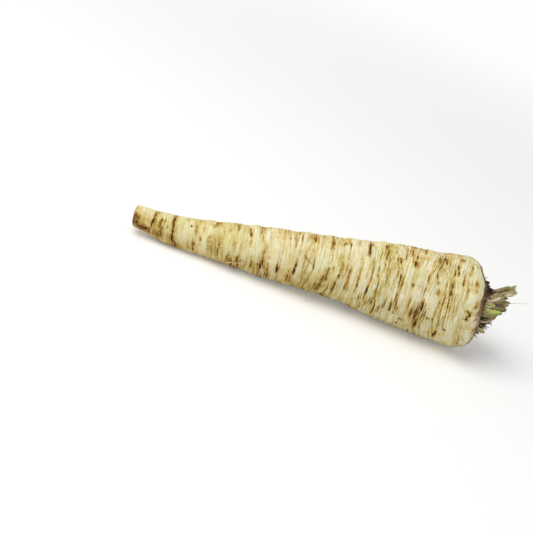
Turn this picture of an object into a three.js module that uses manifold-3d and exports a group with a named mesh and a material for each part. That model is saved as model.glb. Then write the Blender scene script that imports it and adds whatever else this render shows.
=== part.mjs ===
// A parsley root (Hamburg parsley) as lifted and trimmed, lying on its side on a table.
// Millimetres, +Z up. The cut tip points to -X and the crown, with its cut leaf stalks, to +X.
// The long taproot is one solid. The leaf stalks, the dry scales round them, the heart bud and
// the fine side rootlets are pieces of their own, each set against the taproot.
import * as THREE from "three";
import { mergeVertices } from "three/addons/utils/BufferGeometryUtils.js";
import Module from "manifold-3d";

const wasm = await Module();
wasm.setup();

const { degToRad, smoothstep } = THREE.MathUtils;

// ---------------------------------------------------------------- driving dimensions

const BODY_LENGTH = 197; // from the cut tip to the crown's rim, along the root
const GIRTH_RADIUS = 24.9; // at the shoulder, where the root is thickest
const GAP = 0.3; // between pieces that touch

// The taproot's outline: share of the length, and share of the girth radius.
const BODY_OUTLINE = [
  [0.002, 0.232],
  [0.012, 0.246],
  [0.045, 0.265],
  [0.103, 0.333],
  [0.189, 0.39],
  [0.275, 0.47],
  [0.362, 0.552],
  [0.448, 0.606],
  [0.534, 0.657],
  [0.621, 0.732],
  [0.707, 0.843],
  [0.78, 0.913],
  [0.85, 0.955],
  [0.9, 1],
  [0.94, 1.02],
  [0.967, 0.985],
  [0.986, 0.875],
  [0.995, 0.71],
];
// The crown goes on from the rim: down into the corky trough and up to the heart.
const CROWN_OUTLINE = [
  [0.995, 0.71],
  [0.9945, 0.635],
  [0.988, 0.57],
  [0.983, 0.51],
  [0.989, 0.44],
  [1.0, 0.35],
  [1.008, 0.2],
  [1.01, 0],
];
// Height of the root's own axis above the table, at even steps from the tip to the rim.
const AXIS_HEIGHTS = [9.5, 8.6, 11.3, 14.2, 17.5, 20.5, 22.5, 24.1, 27.1];
const SIDE_BOW = 1.6; // how far the root bows sideways at mid length
const CROWN_SLANT = 0.09; // the crown's face leans back, by this much for each mm of height
const AROUND = 36; // facets around the taproot
const BODY_SPANS = 3; // stations between two outline points of the body
const CROWN_SPANS = 2; // and of the crown

// ---------------------------------------------------------------- the root's own shape

// A smooth value from numbers given at even steps; t is in steps.
function evenSpline(values, t) {
  const last = values.length - 1;
  const i = Math.min(Math.max(Math.floor(t), 0), last - 1);
  const w = t - i;
  const [a, b, c, d] = [-1, 0, 1, 2].map(
    (k) => values[Math.min(Math.max(i + k, 0), last)],
  );
  const square = 2 * a - 5 * b + 4 * c - d;
  const cube = 3 * (b - c) + d - a;
  return 0.5 * (2 * b + (c - a) * w + square * w ** 2 + cube * w ** 3);
}

// Centre, direction and upward normal of the root's axis at a distance s from the tip.
function axisAt(s) {
  const steps = AXIS_HEIGHTS.length - 1;
  const height = (x) => evenSpline(AXIS_HEIGHTS, (x / BODY_LENGTH) * steps);
  const bow = (x) => SIDE_BOW * Math.sin((Math.PI * x) / BODY_LENGTH);
  const inside = Math.min(Math.max(s, 0), BODY_LENGTH);
  const rise = (height(inside + 0.5) - height(inside - 0.5)) / 1;
  const along = new THREE.Vector3(1, 0, rise).normalize();
  const up = new THREE.Vector3(-along.z, 0, along.x);
  const centre = new THREE.Vector3(inside, bow(inside), height(inside));
  return { centre: centre.addScaledVector(along, s - inside), along, up };
}

// The point at distance s along the root, radius r and angle a: 90 degrees is up, 180 is -Y.
function onRoot(s, r, a) {
  const slant = CROWN_SLANT * smoothstep(s, 0.75 * BODY_LENGTH, 0.96 * BODY_LENGTH);
  const { centre, up } = axisAt(s - slant * r * Math.sin(a));
  centre.y += r * Math.cos(a);
  return centre.addScaledVector(up, r * Math.sin(a));
}

// How much the root is thicker or thinner than round: lobes along it, and swollen rings.
function swelling(s, a) {
  const lobes =
    0.016 * Math.cos(2 * a + 0.9 + s / 80) + 0.011 * Math.cos(3 * a - s / 55);
  const fade = smoothstep(s, 4, 22) * (1 - smoothstep(s, 168, 190));
  const rings =
    0.014 * Math.sin(s / 2.15 + 1.3 * Math.sin(a + 0.6)) +
    0.01 * Math.sin(s / 1.37 + 1.7 * Math.cos(a) + 2);
  const rim = 0.03 * smoothstep(s, 180, 196) * Math.cos(5 * a + 0.8);
  return 1 + lobes + fade * rings + rim;
}

// Moves every vertex of a geometry to the place that a function gives for it.
function warp(geometry, place) {
  const position = geometry.getAttribute("position");
  const v = new THREE.Vector3();
  for (let i = 0; i < position.count; i++) {
    const { x, y, z } = place(v.fromBufferAttribute(position, i));
    position.setXYZ(i, x, y, z);
  }
  return geometry;
}

// The outline of the root as a lathe's profile, moved outwards by grow.
function profile(grow) {
  const curve = (points, spans) =>
    new THREE.SplineCurve(
      points.map(
        ([along, across]) =>
          new THREE.Vector2(across * GIRTH_RADIUS, along * BODY_LENGTH),
      ),
    ).getPoints((points.length - 1) * spans);
  const body = curve(BODY_OUTLINE, BODY_SPANS);
  const line = [...body, ...curve(CROWN_OUTLINE, CROWN_SPANS).slice(1)];
  return line.map((p, i) => {
    const before = line[Math.max(i - 1, 0)];
    const after = line[Math.min(i + 1, line.length - 1)];
    const way = new THREE.Vector2().subVectors(after, before).normalize();
    const x = i === line.length - 1 ? 0 : p.x + grow * way.y;
    return new THREE.Vector2(x, p.y - grow * way.x);
  });
}

function taprootGeometry(grow = 0) {
  const line = profile(grow);
  const cutFace = new THREE.Vector2(0, line[0].y);
  const lathe = new THREE.LatheGeometry([cutFace, ...line], AROUND);
  return warp(lathe, (v) => {
    const a = Math.atan2(v.z, -v.x);
    return onRoot(v.y, Math.hypot(v.x, v.z) * swelling(v.y, a), a);
  });
}

// ---------------------------------------------------------------- cutting and joining

function solidOf(geometry) {
  const bare = geometry.index ? geometry.toNonIndexed() : geometry.clone();
  bare.deleteAttribute("normal");
  bare.deleteAttribute("uv");
  const merged = mergeVertices(bare, 1e-4);
  return new wasm.Manifold(
    new wasm.Mesh({
      numProp: 3,
      vertProperties: merged.attributes.position.array,
      triVerts: new Uint32Array(merged.index.array),
    }),
  );
}

function geometryOf(solid) {
  const mesh = solid.getMesh();
  const places = new Float32Array(mesh.numVert * 3);
  for (let i = 0; i < mesh.numVert; i++) {
    const start = i * mesh.numProp;
    places.set(mesh.vertProperties.subarray(start, start + 3), i * 3);
  }
  const geometry = new THREE.BufferGeometry();
  geometry.setAttribute("position", new THREE.BufferAttribute(places, 3));
  geometry.setIndex(new THREE.BufferAttribute(mesh.triVerts, 1));
  geometry.computeVertexNormals();
  return geometry;
}

// The largest of the bodies that a cut leaves.
function largest(solid) {
  const bodies = solid.decompose();
  return bodies.reduce((a, b) => (b.volume() > a.volume() ? b : a));
}

// The table under the root: the skin that would press into it is a narrow resting flat.
const TABLE_DEPTH = 20;
const table = solidOf(
  new THREE.BoxGeometry(400, 120, TABLE_DEPTH)
    .translate(100, 0, -TABLE_DEPTH / 2),
);

// ---------------------------------------------------------------- leaf stalks and scales

// A leaf stalk's section: a fat crescent, rounded on its outer side and grooved on its inner
// side, one unit wide and one unit thick.
function stalkSection() {
  const shape = new THREE.Shape();
  shape.moveTo(-0.5, 0.1);
  shape.bezierCurveTo(-0.42, -0.62, 0.42, -0.62, 0.5, 0.1);
  shape.quadraticCurveTo(0.46, 0.5, 0.3, 0.42);
  shape.quadraticCurveTo(0, -0.02, -0.3, 0.42);
  shape.quadraticCurveTo(-0.46, 0.5, -0.5, 0.1);
  return shape;
}

// A cut leaf stalk. It leaves the crown at a distance inset from the axis and at an angle,
// leans outwards by lean degrees and by curl more at its end. Its base, flare times wider than
// its end, clasps the crown.
const STALK_ROOT = 4.5; // how deep a stalk starts under the crown before it is cut
const STALK_STEPS = 5;
const STALK_RISE = 0.016; // how much stalks bend upwards, per mm squared of their length
function stalkGeometry({ angle, inset, lean, curl, length, width, thick, flare, start }) {
  const a = degToRad(angle);
  const whole = length + STALK_ROOT;
  const extrude = new THREE.ExtrudeGeometry(stalkSection(), {
    depth: whole,
    steps: STALK_STEPS,
    bevelEnabled: false,
    curveSegments: 3,
  });
  const { along, up } = axisAt(BODY_LENGTH);
  const origin = onRoot(start - STALK_ROOT, inset, a);
  const outwards = onRoot(BODY_LENGTH, 1, a).sub(onRoot(BODY_LENGTH, 0, a));
  const sideways = new THREE.Vector3().crossVectors(along, outwards);
  return warp(extrude, (v) => {
    const share = v.z / whole;
    const turn = degToRad(lean + curl * share);
    const wide = width * (1 + (flare - 1) * (1 - share) ** 2);
    const deep = thick * (1.15 - 0.3 * share);
    const way = along.clone().multiplyScalar(Math.cos(turn));
    way.addScaledVector(outwards, Math.sin(turn));
    const face = outwards.clone().multiplyScalar(Math.cos(turn));
    face.addScaledVector(along, -Math.sin(turn));
    const clasp = ((v.x * wide) ** 2 * (1 - share)) / (2 * inset + 3);
    return origin
      .clone()
      .addScaledVector(way, v.z)
      .addScaledVector(sideways, v.x * wide)
      .addScaledVector(face, -v.y * deep - clasp)
      .addScaledVector(up, STALK_RISE * v.z ** 2);
  });
}

// A dry scale: what is left of an old leaf's sheath, a thin curved plate that stands in the
// trough round the stalks and leans outwards.
const SCALE_STEPS = 2;
function scaleGeometry({ angle, spread, inset, lean, height, thick, start }) {
  const across = 6;
  const edge = (radius, from, to) =>
    Array.from({ length: across + 1 }, (_, i) => {
      const a = degToRad(from + ((to - from) * i) / across);
      return new THREE.Vector2(radius * Math.cos(a), radius * Math.sin(a));
    });
  const half = spread / 2;
  const plate = new THREE.Shape([
    ...edge(inset + thick, angle - half, angle + half),
    ...edge(inset, angle + half, angle - half),
  ]);
  const extrude = new THREE.ExtrudeGeometry(plate, {
    depth: 1,
    steps: SCALE_STEPS,
    bevelEnabled: false,
  });
  return warp(extrude, (v) => {
    const a = Math.atan2(v.y, v.x);
    const off = Math.abs(Math.cos(a - degToRad(angle)));
    const tall = height * smoothstep(off, Math.cos(degToRad(half + 12)), 1);
    const rise = v.z * (tall + 2) - 2;
    const flare = Math.tan(degToRad(lean)) * Math.max(rise, 0);
    return onRoot(start + rise, Math.hypot(v.x, v.y) + flare, a);
  });
}

// ---------------------------------------------------------------- rootlets

const ROOTLET_SIDES = 5;
const ROOTLET_STEPS = 11;
function rootletGeometry(points, radius) {
  const section = new THREE.Shape(
    Array.from({ length: ROOTLET_SIDES }, (_, i) => {
      const a = (2 * Math.PI * i) / ROOTLET_SIDES;
      return new THREE.Vector2(radius * Math.cos(a), radius * Math.sin(a));
    }),
  );
  return new THREE.ExtrudeGeometry(section, {
    extrudePath: new THREE.CatmullRomCurve3(points),
    steps: ROOTLET_STEPS,
    bevelEnabled: false,
  });
}

// The taproot's radius at a distance s from the tip, without its lobes and rings.
function bodyRadius(s) {
  const share = s / BODY_LENGTH;
  const i = Math.max(1, BODY_OUTLINE.findIndex(([along]) => along >= share));
  const [[s0, r0], [s1, r1]] = [BODY_OUTLINE[i - 1], BODY_OUTLINE[i]];
  return GIRTH_RADIUS * (r0 + ((r1 - r0) * (share - s0)) / (s1 - s0));
}

// A route over the skin: each stop is a distance along, an angle and, where it isn't as close
// as it can be, a height off the skin.
function overSkin(stops) {
  return stops.map(([s, angle, off = HAIR_CLEAR]) => {
    const a = degToRad(angle);
    return onRoot(s, bodyRadius(s) * swelling(s, a) + off, a);
  });
}

// ---------------------------------------------------------------- the pieces

const skin = new THREE.MeshStandardMaterial({ color: 0xd8ca95, roughness: 0.7 });
const freshStalk = new THREE.MeshStandardMaterial({ color: 0x8c9650, roughness: 0.6 });
const driedStalk = new THREE.MeshStandardMaterial({ color: 0x958b66, roughness: 0.8 });
const drySheath = new THREE.MeshStandardMaterial({ color: 0x4b3420, roughness: 0.9 });
const hair = new THREE.MeshStandardMaterial({ color: 0xc4ab7c, roughness: 0.8 });

const root = new THREE.Group();
function add(name, solid, material) {
  const mesh = new THREE.Mesh(geometryOf(solid), material);
  mesh.name = name;
  root.add(mesh);
}

const taproot = solidOf(taprootGeometry()).subtract(table);
const taprootWithGap = solidOf(taprootGeometry(GAP));
add("taproot", taproot, skin);

// Inner stalks stand close round the heart bud, and outer ones round them. The highest stalk is
// the longest, and those on the underside are short.
const INNER = { inset: 6.5, thick: 3.7, flare: 1.15, start: 199 };
const OUTER = { inset: 10.9, thick: 2.7, flare: 1.5, start: 197 };
const STALKS = [
  { ...INNER, angle: 96, inset: 8.8, lean: 10, curl: 4, length: 16, width: 5.4, fresh: false },
  { ...INNER, angle: 152, lean: 3, curl: 5, length: 11.5, width: 5.2, fresh: false },
  { ...INNER, angle: 206, lean: 0, curl: 2, length: 8, width: 5, fresh: false },
  { ...INNER, angle: 264, inset: 6.6, lean: 0, curl: 5, length: 6.5, width: 5, fresh: false },
  { ...INNER, angle: 326, lean: 2, curl: 6, length: 8, width: 5.2, fresh: true },
  { ...INNER, angle: 34, lean: 2, curl: 6, length: 11.5, width: 5.4, fresh: false },
  { ...OUTER, angle: 132, lean: 4, curl: 6, length: 10, width: 5.4, fresh: false },
  { ...OUTER, angle: 178, lean: 3, curl: 6, length: 9.5, width: 6.4, fresh: true },
  { ...OUTER, angle: 228, lean: 3, curl: 8, length: 5, width: 6, fresh: false },
  { ...OUTER, angle: 298, lean: 4, curl: 8, length: 4.5, width: 6.6, fresh: false },
  { ...OUTER, angle: 356, lean: 4, curl: 10, length: 7.5, width: 6.4, fresh: true },
  { ...OUTER, angle: 56, lean: 2, curl: 6, length: 9, width: 5.6, fresh: false },
];
STALKS.forEach(({ fresh, ...stalk }, i) => {
  const solid = largest(solidOf(stalkGeometry(stalk)).subtract(taprootWithGap));
  add(`leaf_stalk_${i + 1}`, solid, fresh ? freshStalk : driedStalk);
});

// The heart bud: a small pointed cone of unopened leaves in the middle of the crown.
const BUD_RADIUS = 2.1;
const BUD_HEIGHT = 5.5;
const BUD_START = 198;
const bud = warp(
  new THREE.LatheGeometry(
    new THREE.SplineCurve([
      new THREE.Vector2(BUD_RADIUS, 0),
      new THREE.Vector2(BUD_RADIUS, BUD_HEIGHT * 0.6),
      new THREE.Vector2(BUD_RADIUS * 0.5, BUD_HEIGHT * 1.2),
      new THREE.Vector2(0, BUD_HEIGHT * 1.4),
    ])
      .getPoints(5)
      .toSpliced(0, 0, new THREE.Vector2(0, 0)),
    8,
  ),
  (v) => onRoot(BUD_START + v.y, Math.hypot(v.x, v.z), Math.atan2(v.z, -v.x)),
);
add("heart_bud", largest(solidOf(bud).subtract(taprootWithGap)), freshStalk);

// Dry scales in the trough, all the way round.
const SCALES = [
  { angle: 96, spread: 50, inset: 13.7, lean: 6, height: 6.5 },
  { angle: 154, spread: 44, inset: 13.6, lean: 4, height: 3.6 },
  { angle: 210, spread: 50, inset: 13.6, lean: 6, height: 3.2 },
  { angle: 264, spread: 36, inset: 13.7, lean: 14, height: 4.8 },
  { angle: 318, spread: 50, inset: 13.6, lean: 8, height: 3.4 },
  { angle: 22, spread: 54, inset: 13.7, lean: 6, height: 4 },
];
SCALES.forEach((scale, i) => {
  const plate = scaleGeometry({ ...scale, thick: 1.1, start: 195.6 });
  const solid = largest(solidOf(plate).subtract(taprootWithGap));
  add(`dry_scale_${i + 1}`, solid, drySheath);
});

// Fine side rootlets that stayed on when the root was washed. The first hangs down to the table.
const HAIR_RADIUS = 0.45;
const HAIR_CLEAR = HAIR_RADIUS + GAP; // from the skin to a rootlet's centre
const ROOTLETS = [
  [[111, 152], [109, 167], [106.5, 190], [104.5, 212], [103, 224, 1.6], [102, 229, 3.6], [101.5, 231, 6]],
  [[95, 146], [96.5, 151], [98.5, 156], [101, 159]],
  [[62.5, 192], [61, 199], [58.5, 206], [55, 210, 1.6]],
  [[62, 20], [60, 4], [57, 346, 1.2], [52, 334, 2.6], [47, 330, 5]],
  [[141, 318], [137, 300], [130, 291, 1.6], [124, 286, 1.8]],
  [[150, 6], [152, 20], [150, 34], [146, 46, 1.2]],
];
ROOTLETS.forEach((stops, i) => {
  const solid = solidOf(rootletGeometry(overSkin(stops), HAIR_RADIUS)).subtract(table);
  add(`rootlet_${i + 1}`, largest(solid.subtract(taprootWithGap)), hair);
});

// A dry fibre stands out between the stalks, finer than the rootlets.
const FIBRE_RADIUS = 0.35;
const fibreRoute = [[197, 6.4], [203, 7.6], [211, 10.4], [218, 13.4], [223, 15.2]].map(
  ([s, r]) => onRoot(s, r, degToRad(118)),
);
const fibre = solidOf(rootletGeometry(fibreRoute, FIBRE_RADIUS));
add("crown_fibre", largest(fibre.subtract(taprootWithGap)), hair);

// The frame's origin is under the middle of the whole, on the table.
const box = new THREE.Box3().setFromObject(root);
const middle = box.getCenter(new THREE.Vector3());
root.position.set(-middle.x, -middle.y, -box.min.z);

export default root;
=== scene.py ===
# %% [markdown]
# # A parsley root, finished in Blender
# A parsley root is one long fleshy taproot with a trimmed bundle of leaf stalks on its crown. The
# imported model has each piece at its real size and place, with plain faceted sides. This lesson gives
# every piece the fine surface and the colours that it has on the real root.
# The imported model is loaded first, because each later piece takes its place from it.

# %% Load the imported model
import math

import bpy
import numpy as np
from mathutils import Matrix, Vector


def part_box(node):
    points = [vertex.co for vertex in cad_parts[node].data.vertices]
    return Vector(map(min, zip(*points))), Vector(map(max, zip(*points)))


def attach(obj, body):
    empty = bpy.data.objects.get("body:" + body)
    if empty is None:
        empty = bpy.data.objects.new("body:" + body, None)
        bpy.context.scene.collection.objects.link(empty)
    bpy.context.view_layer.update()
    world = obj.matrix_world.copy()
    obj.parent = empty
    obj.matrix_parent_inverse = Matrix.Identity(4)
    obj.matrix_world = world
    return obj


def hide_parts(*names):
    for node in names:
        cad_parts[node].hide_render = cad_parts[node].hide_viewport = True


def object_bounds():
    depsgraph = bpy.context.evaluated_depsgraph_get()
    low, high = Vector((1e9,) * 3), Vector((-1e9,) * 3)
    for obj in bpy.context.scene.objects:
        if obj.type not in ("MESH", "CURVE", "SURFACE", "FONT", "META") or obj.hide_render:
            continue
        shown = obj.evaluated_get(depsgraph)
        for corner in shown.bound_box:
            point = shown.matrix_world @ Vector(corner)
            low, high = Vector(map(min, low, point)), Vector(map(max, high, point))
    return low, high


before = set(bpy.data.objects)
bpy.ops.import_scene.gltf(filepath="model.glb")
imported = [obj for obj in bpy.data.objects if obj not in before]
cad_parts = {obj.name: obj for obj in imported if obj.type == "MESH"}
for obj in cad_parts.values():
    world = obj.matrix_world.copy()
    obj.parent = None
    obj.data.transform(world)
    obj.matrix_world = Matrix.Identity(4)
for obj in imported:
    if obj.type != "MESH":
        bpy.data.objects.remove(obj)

MM = 0.001
cad_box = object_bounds()
print("CAD pieces:", len(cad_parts))

# %% [markdown]
# ## The camera
# The root lies on its side and is seen from a little above, with the crown nearer to the viewer. A
# long lens from far off keeps its taper true: a short lens from near by would swell the crown. The
# camera is also turned about its own line of sight, so that the root hangs from upper left to lower
# right. The turn goes into the camera and not into the root, which stays flat on its table.

# %% Place the camera
AZIMUTH, ELEVATION, ROLL = (math.radians(degrees) for degrees in (-11.0, 22.6, 23.0))
DISTANCE = 0.693
LOOK_RIGHT, LOOK_UP = -0.0366, -0.0057  # where the lens aims, from the root's middle
LENS = 85.0
NEAR_CLIP = 0.01


def rolled_axes(back):
    """Right and up of a camera that looks against back. Right is level and square to back, up is square
    to both, and the two are then turned by ROLL about back."""
    right = Vector((0, 0, 1)).cross(back).normalized()
    up = back.cross(right)
    return right * math.cos(ROLL) + up * math.sin(ROLL), up * math.cos(ROLL) - right * math.sin(ROLL)


# From the root to the camera: the -Y direction, turned by AZIMUTH and raised by ELEVATION.
level = math.cos(ELEVATION)
picture_back = Vector((math.sin(AZIMUTH) * level, -math.cos(AZIMUTH) * level, math.sin(ELEVATION)))
picture_right, picture_up = rolled_axes(picture_back)
middle = Vector((0, 0, (cad_box[0].z + cad_box[1].z) / 2))
eye = middle + picture_back * DISTANCE
aim = middle + picture_right * LOOK_RIGHT + picture_up * LOOK_UP
view_back = (eye - aim).normalized()
view_turn = Matrix((*rolled_axes(view_back), view_back)).transposed().to_4x4()

camera = bpy.data.objects.new("camera", bpy.data.cameras.new("camera"))
camera.data.lens = LENS
camera.data.clip_start = NEAR_CLIP
camera.matrix_world = Matrix.Translation(eye) @ view_turn
bpy.context.scene.collection.objects.link(camera)
bpy.context.scene.camera = camera
print("camera at", [round(c, 3) for c in eye])

# %% [markdown]
# ## Light and floor
# Food is mostly shown in a white tent: light comes from all round, a little more of it from above.
# The world gives the light from all round and one large lamp the rest. Together they light a surface
# that faces up at about strength 1, so that a colour shows as it is written. The floor is pale, and
# what the camera sees of it is lifted a little towards white, which leaves the soft shadow in place.
# Seen from below, the floor lets the view through.

# %% Helpers for shader nodes
def add_node(tree, kind, inputs=None, **settings):
    """Adds a node. Each input is set to a value, or linked if the value is another node's socket."""
    node = tree.nodes.new(kind)
    for name, value in settings.items():
        setattr(node, name, value)
    for name, value in (inputs or {}).items():
        if isinstance(value, bpy.types.NodeSocket):
            tree.links.new(value, node.inputs[name])
        else:
            node.inputs[name].default_value = value
    return node


def empty_material(name):
    """A material with only its output node, and the tree that it belongs to."""
    material = bpy.data.materials.new(name)
    material.use_nodes = True
    material.node_tree.nodes.clear()
    return material, material.node_tree


def figure(tree, operation, first, second, clamp=False):
    """A sum, product or power of two numbers, each either a socket or a value."""
    node = add_node(tree, "ShaderNodeMath", {0: first, 1: second}, operation=operation, use_clamp=clamp)
    return node.outputs[0]


def rescale(tree, value, source=(0, 1), target=(0, 1), **settings):
    """A number moved from the range source to the range target, and kept inside it."""
    limits = {"From Min": source[0], "From Max": source[1], "To Min": target[0], "To Max": target[1]}
    return add_node(tree, "ShaderNodeMapRange", {"Value": value, **limits}, **settings).outputs[0]


def seen_ray(tree):
    """1 for rays that end in the picture: straight from the camera, mirrored or through glass."""
    path = add_node(tree, "ShaderNodeLightPath").outputs
    mirrored = figure(tree, "ADD", path["Is Camera Ray"], path["Is Glossy Ray"])
    return figure(tree, "ADD", mirrored, path["Is Transmission Ray"], clamp=True)


# %% Light the scene
WHITE, BLACK = (1, 1, 1, 1), (0, 0, 0, 1)
WORLD_LIGHT = 0.46
LAMP_POWER = 12.5
LAMP_DISTANCE = 1.3
LAMP_SIZE = 1.1
LAMP_BACK, LAMP_LEFT = 0.8, 0.25  # how far behind the camera and to its left the lamp is, against up

scene = bpy.context.scene
scene.view_settings.view_transform = "Standard"
scene.world = bpy.data.worlds.new("studio")
scene.world.use_nodes = True
sky = scene.world.node_tree
sky.nodes.clear()
strength = rescale(sky, seen_ray(sky), target=(WORLD_LIGHT, 1.0))
light = add_node(sky, "ShaderNodeBackground", {"Color": WHITE, "Strength": strength})
add_node(sky, "ShaderNodeOutputWorld", {"Surface": light.outputs[0]})

lamp = bpy.data.objects.new("soft_lamp", bpy.data.lights.new("soft_lamp", "AREA"))
lamp.data.energy = LAMP_POWER
lamp.data.size = LAMP_SIZE
lamp_way = (picture_up + picture_back * LAMP_BACK - picture_right * LAMP_LEFT).normalized()
lamp.location = lamp_way * LAMP_DISTANCE
lamp.rotation_euler = lamp_way.to_track_quat("Z", "Y").to_euler()
scene.collection.objects.link(lamp)
print("lamp from", [round(c, 2) for c in lamp_way])

# %% Lay the floor
FLOOR_HALF = 6.0
FLOOR_COLOUR = (0.86, 0.855, 0.845, 1)
FLOOR_LIFT = 0.2
FADE_START, FADE_END = 0.3, 0.9  # metres from the middle over which the floor turns into background

corners = [(-FLOOR_HALF, -FLOOR_HALF, 0), (FLOOR_HALF, -FLOOR_HALF, 0)]
corners += [(FLOOR_HALF, FLOOR_HALF, 0), (-FLOOR_HALF, FLOOR_HALF, 0)]
floor_mesh = bpy.data.meshes.new("floor")
floor_mesh.from_pydata(corners, [], [(0, 1, 2, 3)])
floor = bpy.data.objects.new("floor", floor_mesh)
scene.collection.objects.link(floor)

paper, tree = empty_material("paper_floor")
seen = seen_ray(tree)
place = add_node(tree, "ShaderNodeTexCoord").outputs["Object"]
away = add_node(tree, "ShaderNodeVectorMath", {0: place}, operation="LENGTH").outputs["Value"]
fade = rescale(tree, away, (FADE_START, FADE_END), interpolation_type="SMOOTHSTEP")
glow = figure(tree, "MULTIPLY", seen, rescale(tree, fade, target=(FLOOR_LIFT, 1.0)))
white = add_node(tree, "ShaderNodeEmission", {"Color": WHITE, "Strength": glow}).outputs[0]
far = figure(tree, "MULTIPLY", seen, fade)
tone = add_node(tree, "ShaderNodeMix", {0: far, 6: FLOOR_COLOUR, 7: BLACK}, data_type="RGBA").outputs[2]
matt = add_node(tree, "ShaderNodeBsdfDiffuse", {"Color": tone}).outputs[0]
lifted = add_node(tree, "ShaderNodeAddShader", {0: matt, 1: white}).outputs[0]
under = add_node(tree, "ShaderNodeNewGeometry").outputs["Backfacing"]
clear = add_node(tree, "ShaderNodeBsdfTransparent").outputs[0]
sides = add_node(tree, "ShaderNodeMixShader", {0: under, 1: lifted, 2: clear}).outputs[0]
add_node(tree, "ShaderNodeOutputMaterial", {"Surface": sides})
floor_mesh.materials.append(paper)
print("floor", 2 * FLOOR_HALF, "m wide")

# %% [markdown]
# ## The root's own coordinates
# Everything on a root follows its length: rings, creases, stalks and hairs. So each place is given
# by how far it is along the root, how far off its axis, and at which angle round it. The axis itself
# bends, as the root grew between stones. One function turns such a place into the frame's own
# coordinates, and every later shape is written in those three numbers. Sizes are in millimetres.

# %% The driving dimensions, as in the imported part
BODY_LENGTH = 197.0  # from the cut tip to the crown's rim
GIRTH_RADIUS = 24.9  # at the shoulder
AXIS_HEIGHTS = np.array([9.5, 8.6, 11.3, 14.2, 17.5, 20.5, 22.5, 24.1, 27.1])  # at even steps of length
SIDE_BOW = 1.6  # how far the middle of the axis stands off the line between its ends
CROWN_SLANT = 0.09  # how far the crown leans back, against the height above the axis
SLANT_START, SLANT_END = 0.75 * BODY_LENGTH, 0.96 * BODY_LENGTH  # where the crown's lean begins and is full

# The outline: share of the length, share of the girth radius.
TIP_OUTLINE = [(0.0024, 0.015), (0.0018, 0.1), (0.0024, 0.17), (0.006, 0.222)]
BODY_OUTLINE = [
    (0.012, 0.246), (0.045, 0.265), (0.103, 0.333), (0.189, 0.39), (0.275, 0.47), (0.362, 0.552),
    (0.448, 0.606), (0.534, 0.657), (0.621, 0.732), (0.707, 0.843), (0.78, 0.913), (0.85, 0.955),
    (0.9, 1.0), (0.94, 1.02), (0.967, 0.985), (0.986, 0.875), (0.995, 0.71),
]
CROWN_OUTLINE = [
    (0.9945, 0.635), (0.988, 0.57), (0.983, 0.51), (0.989, 0.44), (1.0, 0.35), (1.008, 0.2), (1.01, 0.015),
]
print("root", BODY_LENGTH, "mm long and", 2 * GIRTH_RADIUS, "mm thick")

# %% Places on the root
def smooth(x, low, high):
    """0 up to low, 1 from high on, and between them the S-curve 3t^2 - 2t^3 of the share t of the way."""
    t = np.clip((x - low) / (high - low), 0, 1)
    return t * t * (3 - 2 * t)


def spline(values, t):
    """A smooth curve through the values, which stand at the whole numbers of t (Catmull-Rom)."""
    values = np.asarray(values, float)
    last = len(values) - 1
    i = np.clip(np.floor(t).astype(int), 0, last - 1)
    w = t - i
    a, b, c, d = (values[np.clip(i + k, 0, last)] for k in (-1, 0, 1, 2))
    return 0.5 * (2 * b + (c - a) * w + (2 * a - 5 * b + 4 * c - d) * w**2 + (3 * (b - c) + d - a) * w**3)


def axis_at(s):
    """Centre, direction and upward normal of the axis at s mm from the tip. The centre runs on straight
    beyond both ends."""
    inside = np.clip(s, 0, BODY_LENGTH)
    per_step = (len(AXIS_HEIGHTS) - 1) / BODY_LENGTH
    rise = spline(AXIS_HEIGHTS, (inside + 0.5) * per_step) - spline(AXIS_HEIGHTS, (inside - 0.5) * per_step)
    size = np.sqrt(1 + rise**2)
    none = np.zeros_like(size)
    along = np.stack([1 / size, none, rise / size], axis=-1)
    up = np.stack([-rise / size, none, 1 / size], axis=-1)
    bow = SIDE_BOW * np.sin(np.pi * inside / BODY_LENGTH)
    centre = np.stack([inside, bow, spline(AXIS_HEIGHTS, inside * per_step)], axis=-1)
    return centre + along * (s - inside)[..., None], along, up


def on_root(s, r, a):
    """The place s mm along the root, r mm off its axis and at angle a, where 90 degrees is up and 180 is
    -Y: centre(s) + r cos(a) y + r sin(a) up. Towards the crown, s leans back with height."""
    s, r, a = np.broadcast_arrays(np.asarray(s, float), r, a)
    slant = CROWN_SLANT * smooth(s, SLANT_START, SLANT_END)
    centre, _, up = axis_at(s - slant * r * np.sin(a))
    place = centre + up * (r * np.sin(a))[..., None]
    place[..., 1] += r * np.cos(a)
    return place


def swelling(s, a):
    """How much thicker than round the root is, against 1: two lobes, three lobes, two sets of rings that
    fade out towards both ends, and five bulges at the rim."""
    lobes = 0.016 * np.cos(2 * a + 0.9 + s / 80) + 0.011 * np.cos(3 * a - s / 55)
    fade = smooth(s, 4, 22) * (1 - smooth(s, 168, 190))
    rings = 0.008 * np.sin(s / 2.15 + 1.3 * np.sin(a + 0.6)) + 0.005 * np.sin(s / 1.37 + 1.7 * np.cos(a) + 2)
    rim = 0.03 * smooth(s, 180, 196) * np.cos(5 * a + 0.8)
    return 1 + lobes + fade * rings + rim


rim_top = on_root(BODY_LENGTH, GIRTH_RADIUS, math.pi / 2)
print("top of the rim at", [round(float(c), 1) for c in rim_top], "mm")

# %% [markdown]
# ## One way to make a mesh
# Every piece here is a closed skin: rings of points, one behind the other, with the first and last
# ring closed to a point. Stalks, hairs, scales and the root itself differ only in their rings. So one
# function turns rings into faces, with whole arrays. It also stores numbers at each point, such as
# how brown the skin is there, and the material reads them as attributes.

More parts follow.
